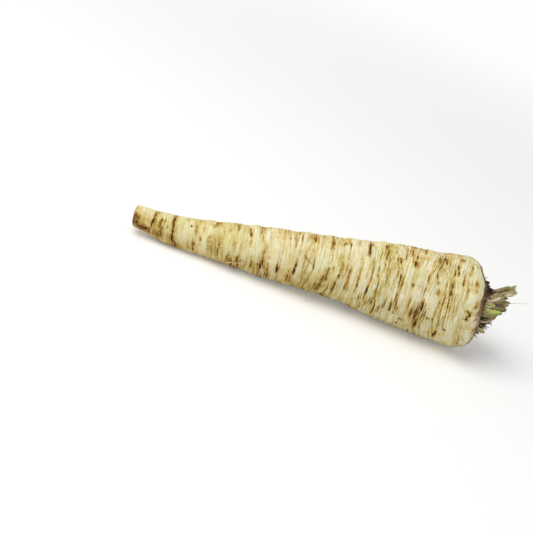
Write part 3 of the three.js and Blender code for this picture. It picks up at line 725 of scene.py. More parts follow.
# %% The scars and stains that this root has
# Distance and angle of one end, of the other end, half the width, and how dark, from 0 to 1.
MARKS = [
    (2, 138, 2.2, 222, 0.8, 0.55), (3.4, 150, 3.6, 200, 0.4, 0.4), (5, 198, 5.2, 216, 0.5, 0.7),
    (7.5, 176, 8, 200, 0.5, 0.4), (9, 184, 8.6, 212, 1.2, 0.3), (8.8, 191, 8.4, 212, 0.8, 0.9),
    (11, 90, 11, 144, 0.5, 0.55), (10.9, 134, 11.2, 174, 0.6, 0.9), (11.3, 168, 12, 192, 0.45, 0.65),
    (15, 122, 15, 154, 0.75, 0.8), (14.9, 148, 15.4, 172, 0.5, 0.65), (16.3, 158, 16.9, 186, 0.6, 0.8),
    (16.6, 178, 18, 208, 0.7, 0.95), (19.3, 145, 19.2, 160, 0.6, 0.25), (22, 80, 22, 122, 0.6, 0.5),
    (21.9, 104, 22, 138, 0.7, 0.9), (22.1, 128, 22.9, 164, 0.6, 0.7), (22.8, 154, 23.7, 188, 0.6, 0.95),
    (23.5, 174, 24.6, 206, 0.65, 1), (25.5, 196, 26.5, 222, 0.6, 0.35), (30, 94, 30.1, 108, 0.6, 0.35),
    (32.3, 122, 32.4, 132, 0.6, 0.8), (35.2, 118, 35.6, 150, 0.5, 0.3), (34.4, 166, 36.2, 208, 0.9, 0.7),
    (35, 196, 36.8, 222, 0.4, 0.5), (40, 98, 40, 146, 0.5, 0.35), (38.6, 156, 38.6, 168, 0.4, 0.65),
    (43, 146, 42.8, 156, 0.6, 0.5), (43.4, 155, 43.6, 196, 0.45, 0.3), (46.8, 74, 47.6, 106, 0.5, 0.55),
    (45.9, 92, 46.3, 112, 0.4, 0.4), (45, 104, 44.3, 126, 0.6, 0.5), (48.9, 158, 49.1, 205, 0.35, 0.55),
    (53.6, 110, 53.6, 130, 0.6, 0.2), (58.4, 74, 58.2, 98, 0.4, 0.6), (57.2, 82, 57.3, 128, 0.4, 0.5),
    (58.2, 96, 57.9, 118, 0.4, 0.6), (55.2, 176, 54.4, 222, 0.5, 0.45), (56.3, 200, 56.5, 210, 0.6, 0.5),
    (60.2, 148, 59.9, 188, 0.4, 0.3), (60, 182, 60.2, 204, 0.8, 1), (60, 184, 60.2, 202, 0.6, 0.9),
    (60.9, 203, 61.2, 222, 0.4, 0.45), (63.6, 90, 64.4, 122, 0.5, 0.65), (65.4, 98, 65.3, 116, 0.4, 0.5),
    (64.5, 114, 64.8, 128, 0.8, 0.85), (65, 126, 65.2, 152, 0.4, 0.45), (67, 160, 67.8, 190, 0.5, 0.4),
    (67.9, 184, 68.5, 222, 0.4, 0.6), (70, 62, 70.6, 120, 0.45, 0.45), (71.4, 70, 71.1, 138, 0.45, 0.4),
    (73.2, 152, 73.5, 182, 0.5, 0.3), (73.4, 174, 73.6, 203, 0.7, 1), (73.5, 180, 73.6, 198, 0.5, 0.9),
    (71, 186, 71.2, 192, 1.1, 0.4), (74.8, 66, 75.6, 122, 0.5, 0.45), (75.2, 120, 75, 150, 0.5, 0.2),
    (76.4, 162, 76.6, 172, 0.5, 0.5), (76.9, 178, 77.3, 198, 0.65, 0.85), (77.5, 194, 78.6, 224, 0.4, 0.6),
    (82, 146, 82, 182, 0.4, 0.25), (82, 173, 82.3, 202, 0.65, 1), (82.1, 178, 82.3, 198, 0.5, 0.9),
    (84.4, 60, 84.8, 122, 0.6, 0.5), (86, 120, 86.4, 137, 0.5, 0.35), (85.8, 108, 86, 118, 0.4, 0.4),
    (89.3, 84, 89.6, 152, 0.6, 0.35), (88.7, 180, 88, 224, 0.6, 0.5), (91.6, 155, 91.2, 194, 0.6, 0.7),
    (91.3, 176, 91.3, 190, 0.5, 0.6), (90.2, 196, 90, 224, 0.4, 0.45), (92.2, 94, 93, 122, 0.4, 0.4),
    (99.4, 62, 99.7, 112, 0.6, 0.5), (99.6, 100, 99.7, 113, 0.55, 0.7), (99.9, 122, 100.1, 152, 0.4, 0.35),
    (100.7, 149, 100.8, 172, 0.4, 0.75), (100.4, 172, 99.5, 208, 0.5, 0.6), (104, 196, 105, 216, 0.8, 0.55),
    (109.3, 60, 108.9, 95, 0.7, 0.75), (108.8, 92, 108.2, 168, 0.45, 0.5),
    (108.5, 164, 108.7, 186, 0.7, 0.85), (107.4, 174, 107, 186, 0.4, 0.6), (108.3, 186, 106, 224, 0.6, 0.55),
    (111.4, 152, 111.6, 162, 0.5, 0.3), (114.4, 80, 115, 112, 0.5, 0.4), (114.8, 118, 114.9, 164, 0.5, 0.35),
    (114.7, 166, 114.8, 174, 0.55, 0.85), (114.4, 174, 113.7, 208, 0.4, 0.6),
    (117.8, 78, 118.4, 118, 0.6, 0.4), (118.5, 98, 118.6, 106, 0.5, 0.6),
    (120.1, 150, 120.2, 196, 0.9, 0.42), (124.9, 124, 126, 214, 0.6, 0.42),
    (125.6, 163, 125.7, 182, 0.5, 0.5), (127.6, 92, 128.2, 122, 0.4, 0.5),
    (128.9, 86, 128.5, 108, 0.5, 0.55), (130.2, 80, 130.4, 98, 0.4, 0.5),
    (127.4, 112, 127.5, 122, 0.5, 0.65), (142.6, 176, 143.2, 214, 0.5, 0.5),
    (134.2, 126, 134.6, 152, 0.4, 0.4), (138.4, 84, 137.8, 122, 0.5, 0.45), (116, 96, 115.4, 108, 1, 0.4),
    (109.8, 96, 108.6, 122, 1, 0.4), (107, 178, 105.5, 220, 1.6, 0.3), (128.8, 110, 128.9, 124, 0.4, 0.6),
    (131.4, 128, 131.8, 172, 0.7, 0.42), (131.3, 171, 131.3, 184, 0.9, 0.95),
    (131.2, 182, 130.9, 200, 0.7, 0.45), (137.2, 90, 137, 104, 0.7, 0.65), (136.8, 104, 137, 124, 0.8, 0.3),
    (135.8, 150, 136.4, 190, 0.8, 0.45), (136.1, 188, 136.3, 202, 0.5, 0.75),
    (139.2, 112, 139.4, 164, 0.5, 0.25), (138.4, 198, 138.6, 224, 0.5, 0.5),
    (140.3, 196, 140.4, 220, 0.6, 0.5), (143.2, 100, 144.6, 168, 0.5, 0.5),
    (144.6, 110, 145.2, 124, 0.8, 0.5), (145.6, 118, 147.4, 176, 0.5, 0.5), (147, 104, 148, 118, 0.7, 0.4),
    (145.8, 178, 146.6, 200, 0.6, 0.65), (147.8, 176, 149.2, 204, 0.6, 0.75),
    (147, 186, 149, 196, 1.8, 0.35), (149.8, 184, 150.4, 202, 0.4, 0.6), (151.2, 92, 151.6, 118, 0.45, 0.55),
    (152.8, 100, 152.8, 126, 1.6, 0.35), (152.7, 115, 152.7, 123, 0.6, 0.95),
    (153.8, 104, 154.2, 112, 0.6, 0.6), (154.4, 116, 154.6, 126, 0.5, 0.6),
    (153.9, 149, 153.9, 153, 0.6, 0.85), (154.6, 166, 155, 184, 0.5, 0.45),
    (153.8, 205, 153.8, 210, 1.2, 0.75), (153.4, 214, 153.5, 224, 0.6, 0.85),
    (152.4, 182, 152.6, 204, 0.5, 0.35), (157.3, 180, 157.6, 196, 0.7, 0.4),
    (159.4, 84, 159.6, 112, 0.7, 0.35), (159.6, 148, 159.6, 155, 2.6, 0.24),
    (161.4, 128, 161.8, 144, 0.45, 0.65), (160.2, 170, 159.6, 196, 0.4, 0.65),
    (161.2, 166, 160.9, 194, 0.3, 0.6), (162.2, 164, 162.2, 192, 0.3, 0.65),
    (163.4, 167, 163.6, 196, 0.35, 0.6), (161.4, 168, 161.4, 198, 3, 0.34),
    (158.8, 180, 158.4, 192, 0.35, 0.5), (162.3, 174, 162.5, 182, 0.5, 0.75),
    (164.8, 176, 165, 198, 0.35, 0.6), (161.5, 196, 162, 218, 1.6, 0.2), (162.2, 198, 162.4, 212, 0.35, 0.6),
    (164, 200, 164.2, 214, 0.4, 0.55), (167, 186.5, 167, 190, 1.4, 0.85),
    (169.5, 186, 169.7, 194, 0.5, 0.55), (166, 124, 167.8, 142, 0.5, 0.7), (168, 136, 168.1, 142, 0.8, 0.8),
    (168, 144, 168.4, 154, 1.4, 0.4), (167.5, 96, 168.6, 126, 2.4, 0.25), (171.2, 94, 172, 108, 0.9, 0.6),
    (172.6, 128, 172.9, 152, 0.5, 0.45), (174, 176, 174.3, 196, 0.4, 0.65),
    (173.6, 204, 172.6, 226, 0.8, 0.8), (177.9, 103, 177.7, 111, 0.5, 0.75),
    (177.7, 113, 177.6, 124, 0.5, 0.9), (177.4, 130, 177, 156, 1.1, 0.4),
    (176.8, 145, 176.8, 151, 0.8, 0.75), (176.6, 156, 176.4, 172, 0.8, 0.25),
    (179.6, 106, 180.2, 124, 0.7, 0.5), (183.8, 112, 182.8, 136, 0.6, 0.5),
    (182.6, 130, 182.8, 134, 0.8, 0.5), (183.4, 154, 183.2, 166, 0.5, 0.3), (187, 114, 187.2, 119, 1, 0.4),
    (187.2, 163.6, 188.2, 167.6, 0.9, 1), (187.4, 164.4, 188, 167, 0.7, 1),
    (188.5, 167.4, 188, 171.4, 0.8, 1), (187, 172.2, 186.8, 176.2, 0.9, 1),
    (186.9, 173, 186.9, 175.6, 0.7, 1), (187.5, 162, 187.3, 178, 1.3, 0.2),
    (177, 196.4, 177.1, 198.8, 1.3, 0.7), (184.6, 183, 184.5, 190, 1.6, 0.2),
    (190.6, 136, 190.7, 141, 0.6, 0.6), (191, 124, 191.2, 134, 1.6, 0.3), (184, 88, 183, 96, 1.6, 0.4),
    (175.4, 150, 175.5, 190, 0.35, 0.35), (170.4, 132, 170.8, 170, 0.35, 0.35),
    (188.6, 98, 188.2, 114, 1.6, 0.3), (190.2, 122, 190.4, 136, 1.6, 0.2),
    (191.6, 150, 191.2, 160, 1.4, 0.34), (186, 126, 185.6, 150, 1.2, 0.22),
    (189, 178, 188.4, 196, 1.8, 0.26), (192.4, 186, 192, 214, 1.2, 0.5), (186, 198, 185.4, 222, 1.8, 0.3),
    (191.4, 88, 191.6, 100, 1, 0.35), (187.4, 136, 187.2, 142, 1.4, 0.3), (178, 60, 164, 122, 6, 0.34),
    (158, 56, 152, 108, 5, 0.22), (100, 50, 99, 112, 9, 0.16), (85, 50, 84, 118, 7, 0.18),
    (52, 48, 51, 114, 14, 0.15), (88, 110, 90, 152, 12, 0.08), (10, 186, 9.8, 202, 0.9, 0.5),
    (1.6, 96, 1.4, 132, 1.2, 0.3), (12, 150, 15, 200, 8, 0.12), (145, 100, 147, 180, 3.5, 0.16),
    (177, 128, 176, 165, 3, 0.2),
]
print(len(MARKS), "marks")

# %% Creases, lumps, soil and painted underside shade
ON_BODY = (np.arange(ROWS) < RIM_ROW)[:, None]
INNER_BODY = smooth(S, 3, 16) * (1 - 0.7 * smooth(S, 184, 194)) * ON_BODY  # less towards both ends
# Patches where brown creases crowd: distance, angle, and how far each reaches in mm and in degrees.
CROWDED = [
    (158, 108, 10, 17), (161, 182, 6, 17), (147, 186, 4, 20), (145, 130, 4, 22), (176, 116, 5, 15),
    (128, 195, 8, 22), (174, 165, 4, 20), (152, 300, 13, 32), (170, 20, 10, 26), (126, 256, 10, 30),
    (165, 246, 8, 26), (138, 40, 9, 30),
]


def stained(stain, more):
    """One stain over another, both from 0 to 1: each leaves its own share of the pale skin."""
    return 1 - (1 - stain) * (1 - more)


def crowding():
    """How strong the fine creases are: uneven everywhere, and strong in the crowded patches."""
    uneven = 0.3 + 0.3 * waves(S, A, 26, 3, seed=23)
    for s, angle, reach, spread in CROWDED:
        turn = (np.degrees(A) - angle + 180) % 360 - 180
        uneven = uneven + 0.85 * np.exp(-(((S - s) / reach) ** 2) - (turn / spread) ** 2)
    return np.clip(uneven, 0.08, 1.3)


def earth_and_underside_shade():
    """Browner on the underside, less towards the crown, and round the tip: partly soil that stayed in the
    skin, partly painted shade of the underside.
    """
    underside = -np.sin(A + 0.15)
    earth_and_shade = smooth(underside, 0, 0.7) * (0.3 + 0.1 * smooth(S, 20, 80)) * (1 - 0.85 * smooth(S, 90, 165))
    earth_and_shade += 0.5 * smooth(underside, -0.6, 0.7) * smooth(S, 36, 6)
    return earth_and_shade * np.clip(1 + 0.3 * waves(S, A, 24, 6, seed=27), 0, 2) * ON_BODY


def creased_skin():
    """Relief and stain of the fine creases, which are deeper on the underside, of the broad crests
    between rings, and of low lumps. Hollows between the crests are a little browner."""
    dense = smooth(S, 105, 150) * INNER_BODY
    fine = creases(RING, A, 2.0, 3, seed=21, sharp=0.4)
    uneven = crowding()
    rough = 0.22 * (1 + 1.2 * smooth(-np.sin(A + 0.2), 0, 0.6))
    relief = 0.05 - rough * fine * uneven * (0.2 * INNER_BODY + 0.8 * dense)
    crests = waves(RING, A, 8.5, 1, seed=24)
    relief += 0.08 * crests * INNER_BODY
    relief += 0.05 * waves(S, A, 16, 5, seed=25) * ON_BODY
    # The underside's brown is partly soil and partly painted shade.
    stain = stained(0.4 * fine * uneven * (0.15 * INNER_BODY + 0.85 * dense), 0.4 * earth_and_underside_shade())
    return relief, stained(stain, 0.13 * smooth(-crests, -0.6, 1.6) * INNER_BODY)


print("creases crowd in", len(CROWDED), "patches")

# %% Relief and stain of the whole skin
RINGS, RING_SPAN = 58, (8, 186)
STREAK_GROUPS, STREAK_START, STREAK_SPAN = 170, 6, 184
MARKED_ANGLE = 145  # the middle of the side that the table of marks describes
ARC = 57  # degrees in an arc that is as long as its radius


def ring_lines(relief, stain, draw):
    """Lines right round the root, each a shallow furrow that is stained in patches, most on the unmarked
    side. The furrows are added to relief, and the new stain is returned."""
    unmarked = 0.4 + 0.6 * smooth(-np.cos(A - math.radians(MARKED_ANGLE)), -0.3, 0.3)
    for number, s in enumerate(np.sort(draw.uniform(*RING_SPAN, RINGS))):
        width, dark = draw.uniform(0.35, 0.9), draw.uniform(0.1, 0.45)
        bell = np.exp(-np.abs((RING - s) / width) ** 3) * INNER_BODY
        patchy = smooth(waves(A * 0 + s, A, 9, 5, seed=60 + number), -0.4, 1.3)
        stain = stained(stain, dark * bell * patchy * unmarked)
        relief -= 0.14 * bell * (0.3 + 0.7 * patchy)
    return stain


def chance_streaks(relief, stain, draw):
    """Groups of up to five streaks, one behind the other and slanted as the rings are. They are fainter
    on the marked side, where the table of marks says what there is."""
    for _ in range(STREAK_GROUPS):
        s, angle = STREAK_START + STREAK_SPAN * draw.beta(1.6, 1.0), draw.uniform(0, 360)
        marked = math.cos(math.radians(angle - MARKED_ANGLE)) > 0.15
        shade = 0.1 + (0.15 if marked else 0.45) * draw.random() ** 2.5
        for _ in range(draw.integers(1, 6)):
            s, turn = s + draw.uniform(0.6, 1.4), angle + draw.normal(0, 7)
            long = draw.uniform(1.5, 4.5) * (1 + 2 * draw.random() ** 3)
            half = long * ARC / np.interp(s, row_s[:RIM_ROW], row_r[:RIM_ROW])
            low, high = (ring_place(np.array([[s]]), np.radians([[turn + k]])) for k in (-half, half))
            lean = (low - high).item() / 2
            dark = min(0.9, shade * draw.uniform(0.5, 1.5))
            near, far = (s - lean, turn - half), (s + lean, turn + half)
            add_streak(relief, stain, near, far, draw.uniform(0.22, 0.5), dark)


def skin_marks():
    """The relief in mm and the stain from 0 to 1 at every point of the taproot's grid. Faint stains are
    made fainter at the end, so that the scars stand out."""
    relief, stain = creased_skin()
    draw = np.random.default_rng(31)
    stain = ring_lines(relief, stain, draw)
    chance_streaks(relief, stain, draw)
    for s0, a0, s1, a1, width, dark in MARKS:
        add_streak(relief, stain, (s0, a0), (s1, a1), width, dark)
    return relief, stain * (0.75 + 0.25 * stain)


relief, stain = skin_marks()
print("relief from", round(relief.min(), 2), "to", round(relief.max(), 2), "mm")

# %% The crown's trough and the cut tip
TIP_SLANT = 0.16  # how far the tip's cut leans, against its radius
TIP_END = 12  # where the slant of the cut has died out
CORE_SHARE, PITH_SHARE = 0.55, 0.16  # the ring round the woody core and the pith, against the radius
TIP_SHARE = np.minimum(row_r / np.interp(2, row_s, row_r), 1)[:, None]  # 0 in the cut's middle, 1 at its edge
PAST_RIM = (np.arange(ROWS) - RIM_ROW)[:, None] * 0.4  # mm past the rim along the outline
NEAR_ANGLE, HIGH_ANGLE = 150, 40  # the side that the camera sees, and the side opposite to the lowest
RAY_RADIUS = 15  # the fibres' places round the trough are taken at this radius


def cut_face():
    """The stain of the tip's cut face, where a root shows its woody core: a dark ring between the core
    and the bark, exp(-x^2) across, and a darker pith."""
    uneven = 0.04 * waves(S * 0, A, 9, 5, seed=51)
    ring = np.exp(-(((TIP_SHARE - CORE_SHARE - uneven) / 0.07) ** 2))
    pith = np.exp(-((TIP_SHARE / PITH_SHARE) ** 2))
    return (0.5 * ring + 0.4 * pith) * (1 - smooth(S, 0.3, 0.9))


def crown_marks():
    """How corky and how weathered each point is. Cork starts inside the rim, with an edge that wanders,
    and further in on the far side. Weathering is a band outside it, broadest at the lowest side, and
    covers the cut tip, most at its low edge."""
    past_rim = PAST_RIM + 1.1 * waves(S * 0, A, 9, 6, seed=41)
    far_side = smooth(-np.cos(A - math.radians(NEAR_ANGLE)), -0.2, 0.6)
    past_rim = past_rim + 0.5 * waves(S * 0, A, 9, 22, seed=46) - 2.2 * far_side
    cork = smooth(past_rim, -5.6, -3.6)
    shade = waves(S, A, 12, 6, seed=44)
    downwards = -np.cos(A - math.radians(HIGH_ANGLE))
    low_side = smooth(downwards, 0.3, 0.95)
    rim = smooth(past_rim - 0.5 * shade, -10 - 9 * low_side, -6.8) * (0.86 + 0.1 * shade)
    low_edge = smooth(downwards * TIP_SHARE, 0.1, 1.1)
    tip = (1 - smooth(S + 0.3 * shade, 0.6, 3)) * (0.42 + 0.45 * low_edge + 0.08 * shade * TIP_SHARE)
    return cork, np.clip(np.clip(rim, 0, 1) + np.clip(tip, 0, 1), 0, 1)


def trough_relief(cork):
    """Relief of the cork: ridges round the trough, lumps, and furrows between the bundles of fibres that
    run outwards over its edge."""
    ridges = np.sin(2 * np.pi * PAST_RIM / 2.6 + 1.2 * waves(PAST_RIM, A, 40, 4, seed=42))
    bundles = creases(PAST_RIM, A, 14, 34, seed=45, sharp=0.9)
    return cork * (0.1 * ridges + 0.25 * waves(PAST_RIM, A, 6, 11, seed=43) - 0.35 * bundles)


def taproot_rings():
    """Every point of the taproot: the outline turned round the axis, swollen, moved along the outline's
    normal by the relief, and slanted at the cut. Its attributes come with it."""
    cork, weather = crown_marks()
    height = relief + trough_relief(cork)
    height *= np.minimum(1, row_r / 3)[:, None]
    slant = TIP_SLANT * (1 - smooth(S, 0, TIP_END)) * row_r[:, None] * np.sin(A)
    s = S + height * row_normal[:, :1] - slant
    r = row_r[:, None] * swelling(S, A) + height * row_normal[:, 1:]
    radius, across, up = np.broadcast_arrays(row_r[:, None], np.cos(A), np.sin(A))
    return on_root(s, r, A), {
        "stain": np.maximum(stain, cut_face()), "cork": cork, "weather": weather,
        "grain": np.stack([RING, radius * across, radius * up], axis=-1) * MM,
        "rays": np.stack([RAY_RADIUS * across, RAY_RADIUS * up, radius], axis=-1) * MM,
    }


plain_places = on_root(S, row_r[:, None] * swelling(S, A), A)
cad_low, cad_high = (np.array(corner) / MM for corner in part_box("taproot"))
low, high = plain_places.min(axis=(0, 1)), plain_places.max(axis=(0, 1))
SHIFT = np.array([cad_low[0] - low[0], (cad_low[1] + cad_high[1] - low[1] - high[1]) / 2, 0])
taproot_places, taproot_values = taproot_rings()
taproot_places += SHIFT
taproot_places[..., 2] = np.maximum(taproot_places[..., 2], 0)  # pressed flat where it meets the table
make_piece("taproot_skin", [(taproot_places, taproot_values)], SKIN, ["taproot"])
print("the part's own origin is moved by", SHIFT.round(2), "mm")

# %% [markdown]
# ## The tissue of the crown
# What is left on the crown is leaf tissue of every age: living green, faded grey green, bleached
# beige, and brown to black where it rots. One number tells them apart, the attribute age, from 0 for
# green to 1 for black. A shader group turns it into a colour, after streaks along the fibres have
# moved it a little up and down. Stalks, scales and hairs share the group, each with its own values.

# %% Leaf tissue
TISSUE_INPUTS = {"Place": ("Vector", None), "Age": ("Float", 0.5), "Uneven": ("Float", 0.3)}
GREEN_TO_BLACK = {
    0.0: (184, 206, 92), 0.14: (222, 216, 150), 0.28: (158, 156, 98), 0.42: (148, 134, 90),
    0.54: (192, 176, 136), 0.62: (240, 230, 198), 0.71: (142, 104, 68), 0.83: (74, 47, 29),
    1.0: (26, 16, 10),
}
# The furrow colour is painted shade between the fibres.
FURROW_SHADE = (128, 106, 74)  # the colour is multiplied by this between the fibres


def tissue_group():
    """Colour by age, where streaks along the fibres add or take off up to half of Uneven, and painted shade
    darkens the furrows between the fibres.
    """
    outputs = {"Color": ("Color", None), "Fibres": ("Float", None)}
    group, given, result = new_group("aged_tissue", TISSUE_INPUTS, outputs)
    place = given["Place"]
    fibres = mask(group, STREAKS, place, Stretch=(2600, 2600, 260))
    cloudy = mask(group, STREAKS, place, Stretch=(420, 420, 260))
    texture = weighted(group, {fibres: 0.5, cloudy: 0.5}, -0.5)
    change = figure(group, "MULTIPLY", texture, given["Uneven"])
    colour = ramp(group, figure(group, "ADD", given["Age"], change), GREEN_TO_BLACK)
    # Painted shade in the furrows between the fibres.
    furrows = mask(group, STREAKS, place, Stretch=(1500, 1500, 200), Low=0.5, High=0.68)
    furrow_shaded = blend(group, 0.75, colour, FURROW_SHADE, "MULTIPLY")
    group.links.new(blend(group, furrows, colour, furrow_shaded), result["Color"])
    group.links.new(fibres, result["Fibres"])
    return group


def tissue_material(name, uneven, rough, shine):
    """Leaf tissue whose colour follows the attributes age and grain. rough is a pair of roughnesses, for
    the furrows between the fibres and for the fibres."""
    material, tree = empty_material(name)
    tissue = tree.nodes.new("ShaderNodeGroup")
    tissue.node_tree = TISSUE
    tissue.inputs["Uneven"].default_value = uneven
    tree.links.new(attribute(tree, "grain", "Vector"), tissue.inputs["Place"])
    tree.links.new(attribute(tree, "age"), tissue.inputs["Age"])
    fibres = tissue.outputs["Fibres"]
    bump = add_node(tree, "ShaderNodeBump", {"Height": fibres, "Strength": 0.8, "Distance": 0.0002})
    finish_material(tree, {
        "Base Color": tissue.outputs["Color"], "Roughness": rescale(tree, fibres, target=rough),
        "Normal": bump.outputs[0], "Specular IOR Level": shine,
    })
    return material


TISSUE = tissue_group()
FRESH = tissue_material("stalk_fresh", uneven=0.26, rough=(0.6, 0.4), shine=0.45)
DRY = tissue_material("stalk_dry", uneven=0.34, rough=(0.85, 0.65), shine=0.3)
SCALE = tissue_material("dry_scale", uneven=0.26, rough=(0.9, 0.7), shine=0.25)
print("materials:", [material.name for material in bpy.data.materials])

# %% [markdown]
# ## Leaf stalks
# A parsley leaf stalk has a fat crescent for a section: a ribbed back and a grooved front that faces
# the heart. Trimming leaves a stub that dries from the cut end. It shrinks between its ribs, its end
# tears along them, and loose fibres stand out. A stalk is its section carried along a bent path. At
# the torn end the rings turn inwards and go back down, so that the stub looks hollow.

# %% The stalk's section and path
STALK_ROOT = 4.5  # how deep a stalk starts under the crown
STALK_RISE = 0.016  # how much stalks bend upwards, per mm squared of their length
SECTION_POINTS = 52


def bezier(corners, steps=24):
    """Points on a Bezier curve: each round blends neighbouring corners by the share t, until one is left."""
    t = np.linspace(0, 1, steps, endpoint=False)[:, None]
    points = [np.array(corner, float) for corner in corners]
    while len(points) > 1:
        points = [a * (1 - t) + b * t for a, b in zip(points, points[1:])]
    return points[0]


def stalk_section():
    """The crescent's points and outward normals, at even steps round it; one unit wide, one thick."""
    line = np.concatenate([
        bezier([(-0.5, 0.1), (-0.42, -0.62), (0.42, -0.62), (0.5, 0.1)]),
        bezier([(0.5, 0.1), (0.46, 0.5), (0.3, 0.42)]),
        bezier([(0.3, 0.42), (0, -0.02), (-0.3, 0.42)]),
        bezier([(-0.3, 0.42), (-0.46, 0.5), (-0.5, 0.1)]),
    ])
    closed = np.concatenate([line, line[:1]])
    walked = np.concatenate([[0], np.cumsum(np.linalg.norm(np.diff(closed, axis=0), axis=1))])
    even = np.linspace(0, walked[-1], SECTION_POINTS, endpoint=False)
    points = np.stack([np.interp(even, walked, closed[:, k]) for k in (0, 1)], axis=-1)
    way = np.roll(points, -1, axis=0) - np.roll(points, 1, axis=0)
    normals = np.stack([way[:, 1], -way[:, 0]], axis=-1)
    return points, normals / np.linalg.norm(normals, axis=1, keepdims=True)


SECTION, SECTION_NORMAL = stalk_section()
print("the crescent's ribbed back reaches down to", round(float(SECTION[:, 1].min()), 2))


def crown_ways(angle):
    """Unit directions at the crown for an angle in degrees: along the root, up, away from its axis, and
    sideways round it."""
    a = math.radians(angle)
    along, up = (way[0] for way in axis_at(np.array([BODY_LENGTH]))[1:])
    outwards = np.array([0, math.cos(a), 0]) + up * math.sin(a)
    return along, up, outwards, np.cross(along, outwards)


def along_stalk(stalk, x, y, z):
    """Where a point of the straight stalk ends up: x across, y towards its front and z along, in mm. The
    stalk turns outwards by lean, and by curl more at its end. Its base wraps round the heart by x^2, and
    z^2 bends it upwards."""
    along, up, outwards, sideways = crown_ways(stalk["angle"])
    origin = on_root(stalk["start"] - STALK_ROOT, stalk["inset"], math.radians(stalk["angle"]))
    share = z / (stalk["length"] + STALK_ROOT)
    turn = np.radians(stalk["lean"] + stalk["curl"] * share)[..., None]
    way = along * np.cos(turn) + outwards * np.sin(turn)
    face = outwards * np.cos(turn) - along * np.sin(turn)
    clasp = x**2 * (1 - share) / (2 * stalk["inset"] + 3)
    x, y, z, clasp = (part[..., None] for part in np.broadcast_arrays(x, y, z, clasp))
    return origin + SHIFT + way * z + sideways * x - face * (y + clasp) + up * STALK_RISE * z**2


# %% A torn stub and its fibres
STUB_ROWS, HOLLOW_ROWS = 44, 9
HOLLOW = 3.0  # how deep the torn end is open, in mm
FIBRE_ROWS, FIBRE_POINTS = 10, 5
APART = 20  # mm between the patterns of two pieces, so that none repeats another's


def jagged(count, seed, rough=3):
    """A ragged line of count heights from 0 to 1: a broad line with 4 * rough bends, and a height of its
    own at each point, so that wide and narrow teeth stand side by side."""
    draw = np.random.default_rng(seed)
    bends = 4 * rough
    heights = np.append(draw.random(bends), 0.5)
    wide = np.interp(np.arange(count), np.linspace(0, count, bends + 1), heights)
    return np.clip(0.75 * wide + 0.35 * draw.random(count) - 0.05, 0, 1)


def stub_skin(stalk, seed):
    """The rings of one stalk. Row by row z goes from the base to the torn end and then back down inside.
    The section is wider at the base by the flare, ribs stand out by a cosine of the way round it, and
    the end spreads, and is lower where the ragged line is high. Sines of z make it sway a little."""
    draw = np.random.default_rng(seed)
    share = np.concatenate([np.linspace(0.4, 1, STUB_ROWS), np.ones(HOLLOW_ROWS)])[:, None]
    inside = np.concatenate([np.zeros(STUB_ROWS), np.linspace(0.15, 1, HOLLOW_ROWS)])[:, None]
    whole = stalk["length"] + STALK_ROOT
    torn = stalk["torn"] * jagged(SECTION_POINTS, seed + 1)[None, :]
    z = share * (whole - torn * smooth(share, 0.5, 1)) - HOLLOW * inside
    low_share = z / whole
    wide = stalk["width"] * (1 + (stalk["flare"] - 1) * (1 - low_share) ** 2)
    deep = stalk["thick"] * (1.15 - 0.3 * low_share)
    turn = np.arange(SECTION_POINTS)[None, :] / SECTION_POINTS
    ribs = np.abs(np.cos(np.pi * stalk["ribs"] * turn + 0.4 * np.sin(z / 3 + seed)))
    shrunk = 1 - 0.14 * smooth(low_share, 0.5, 1) * (1 - ribs)
    lobes = 0.4 + jagged(SECTION_POINTS, seed + 2, rough=2)[None, :]
    spread = 1 + stalk["spread"] * smooth(low_share, 0.72, 1) * lobes
    size = shrunk * spread * (1 - 0.22 * smooth(inside, 0, 0.3) - 0.3 * inside)
    x = SECTION[:, 0] * wide * size + SECTION_NORMAL[:, 0] * 0.2 * (ribs - 0.5)
    y = SECTION[:, 1] * deep * size + SECTION_NORMAL[:, 1] * 0.2 * (ribs - 0.5)
    x = x + 0.35 * low_share**2 * np.sin(z / 2.2 + draw.uniform(0, 6))
    y = y + 0.3 * low_share**2 * np.sin(z / 2.7 + draw.uniform(0, 6))
    base, end = stalk["age"]
    # Inside the hollow end and where the stalk leaves the crown the age is raised: painted shade in the
    # hollow and at the stalk's foot.
    age = base + (end - base) * low_share**1.6 + 0.07 * (0.5 - ribs) + 0.3 * smooth(inside, 0, 0.6)
    age = age + 0.16 * (draw.random() - 0.5) + 0.25 * np.exp(-np.maximum(z - STALK_ROOT, 0) / 0.9)
    grain = np.stack(np.broadcast_arrays(x + APART * seed, y, z), axis=-1) * MM
    return along_stalk(stalk, x, y, z), {"age": age, "grain": grain}


def fibre_skins(stalk, seed):
    """Loose fibres round the torn end: thin tubes that start inside the stub and bend away from it."""
    draw = np.random.default_rng(seed + 5)
    share = np.linspace(0, 1, FIBRE_ROWS)[:, None]
    turn = np.linspace(0, 2 * np.pi, FIBRE_POINTS, endpoint=False)[None, :]
    whole = stalk["length"] + STALK_ROOT
    skins = []
    for _ in range(stalk["fibres"]):
        point, normal = (line[draw.integers(SECTION_POINTS)] for line in (SECTION, SECTION_NORMAL))
        bottom, top = whole - draw.uniform(2.5, 4.5), whole + draw.uniform(-1.6, 0.9)
        half = draw.uniform(0.09, 0.2) * (1 - 0.8 * share)
        bend = draw.uniform(-0.2, 1.2) * share**2
        sway = draw.uniform(-0.9, 0.9) * share**2
        x = point[0] * 0.85 * stalk["width"] + normal[0] * bend - normal[1] * sway + half * np.cos(turn)
        y = point[1] * 0.75 * stalk["thick"] + normal[1] * bend + normal[0] * sway + half * np.sin(turn)
        z = bottom + (top - bottom) * share + 0 * turn
        age = stalk["age"][1] + draw.uniform(-0.12, 0.16) + 0.1 * share
        grain = np.stack([x + APART * seed, y, z], axis=-1) * MM
        skins.append((along_stalk(stalk, x, y, z), {"age": age, "grain": grain}))
    return skins


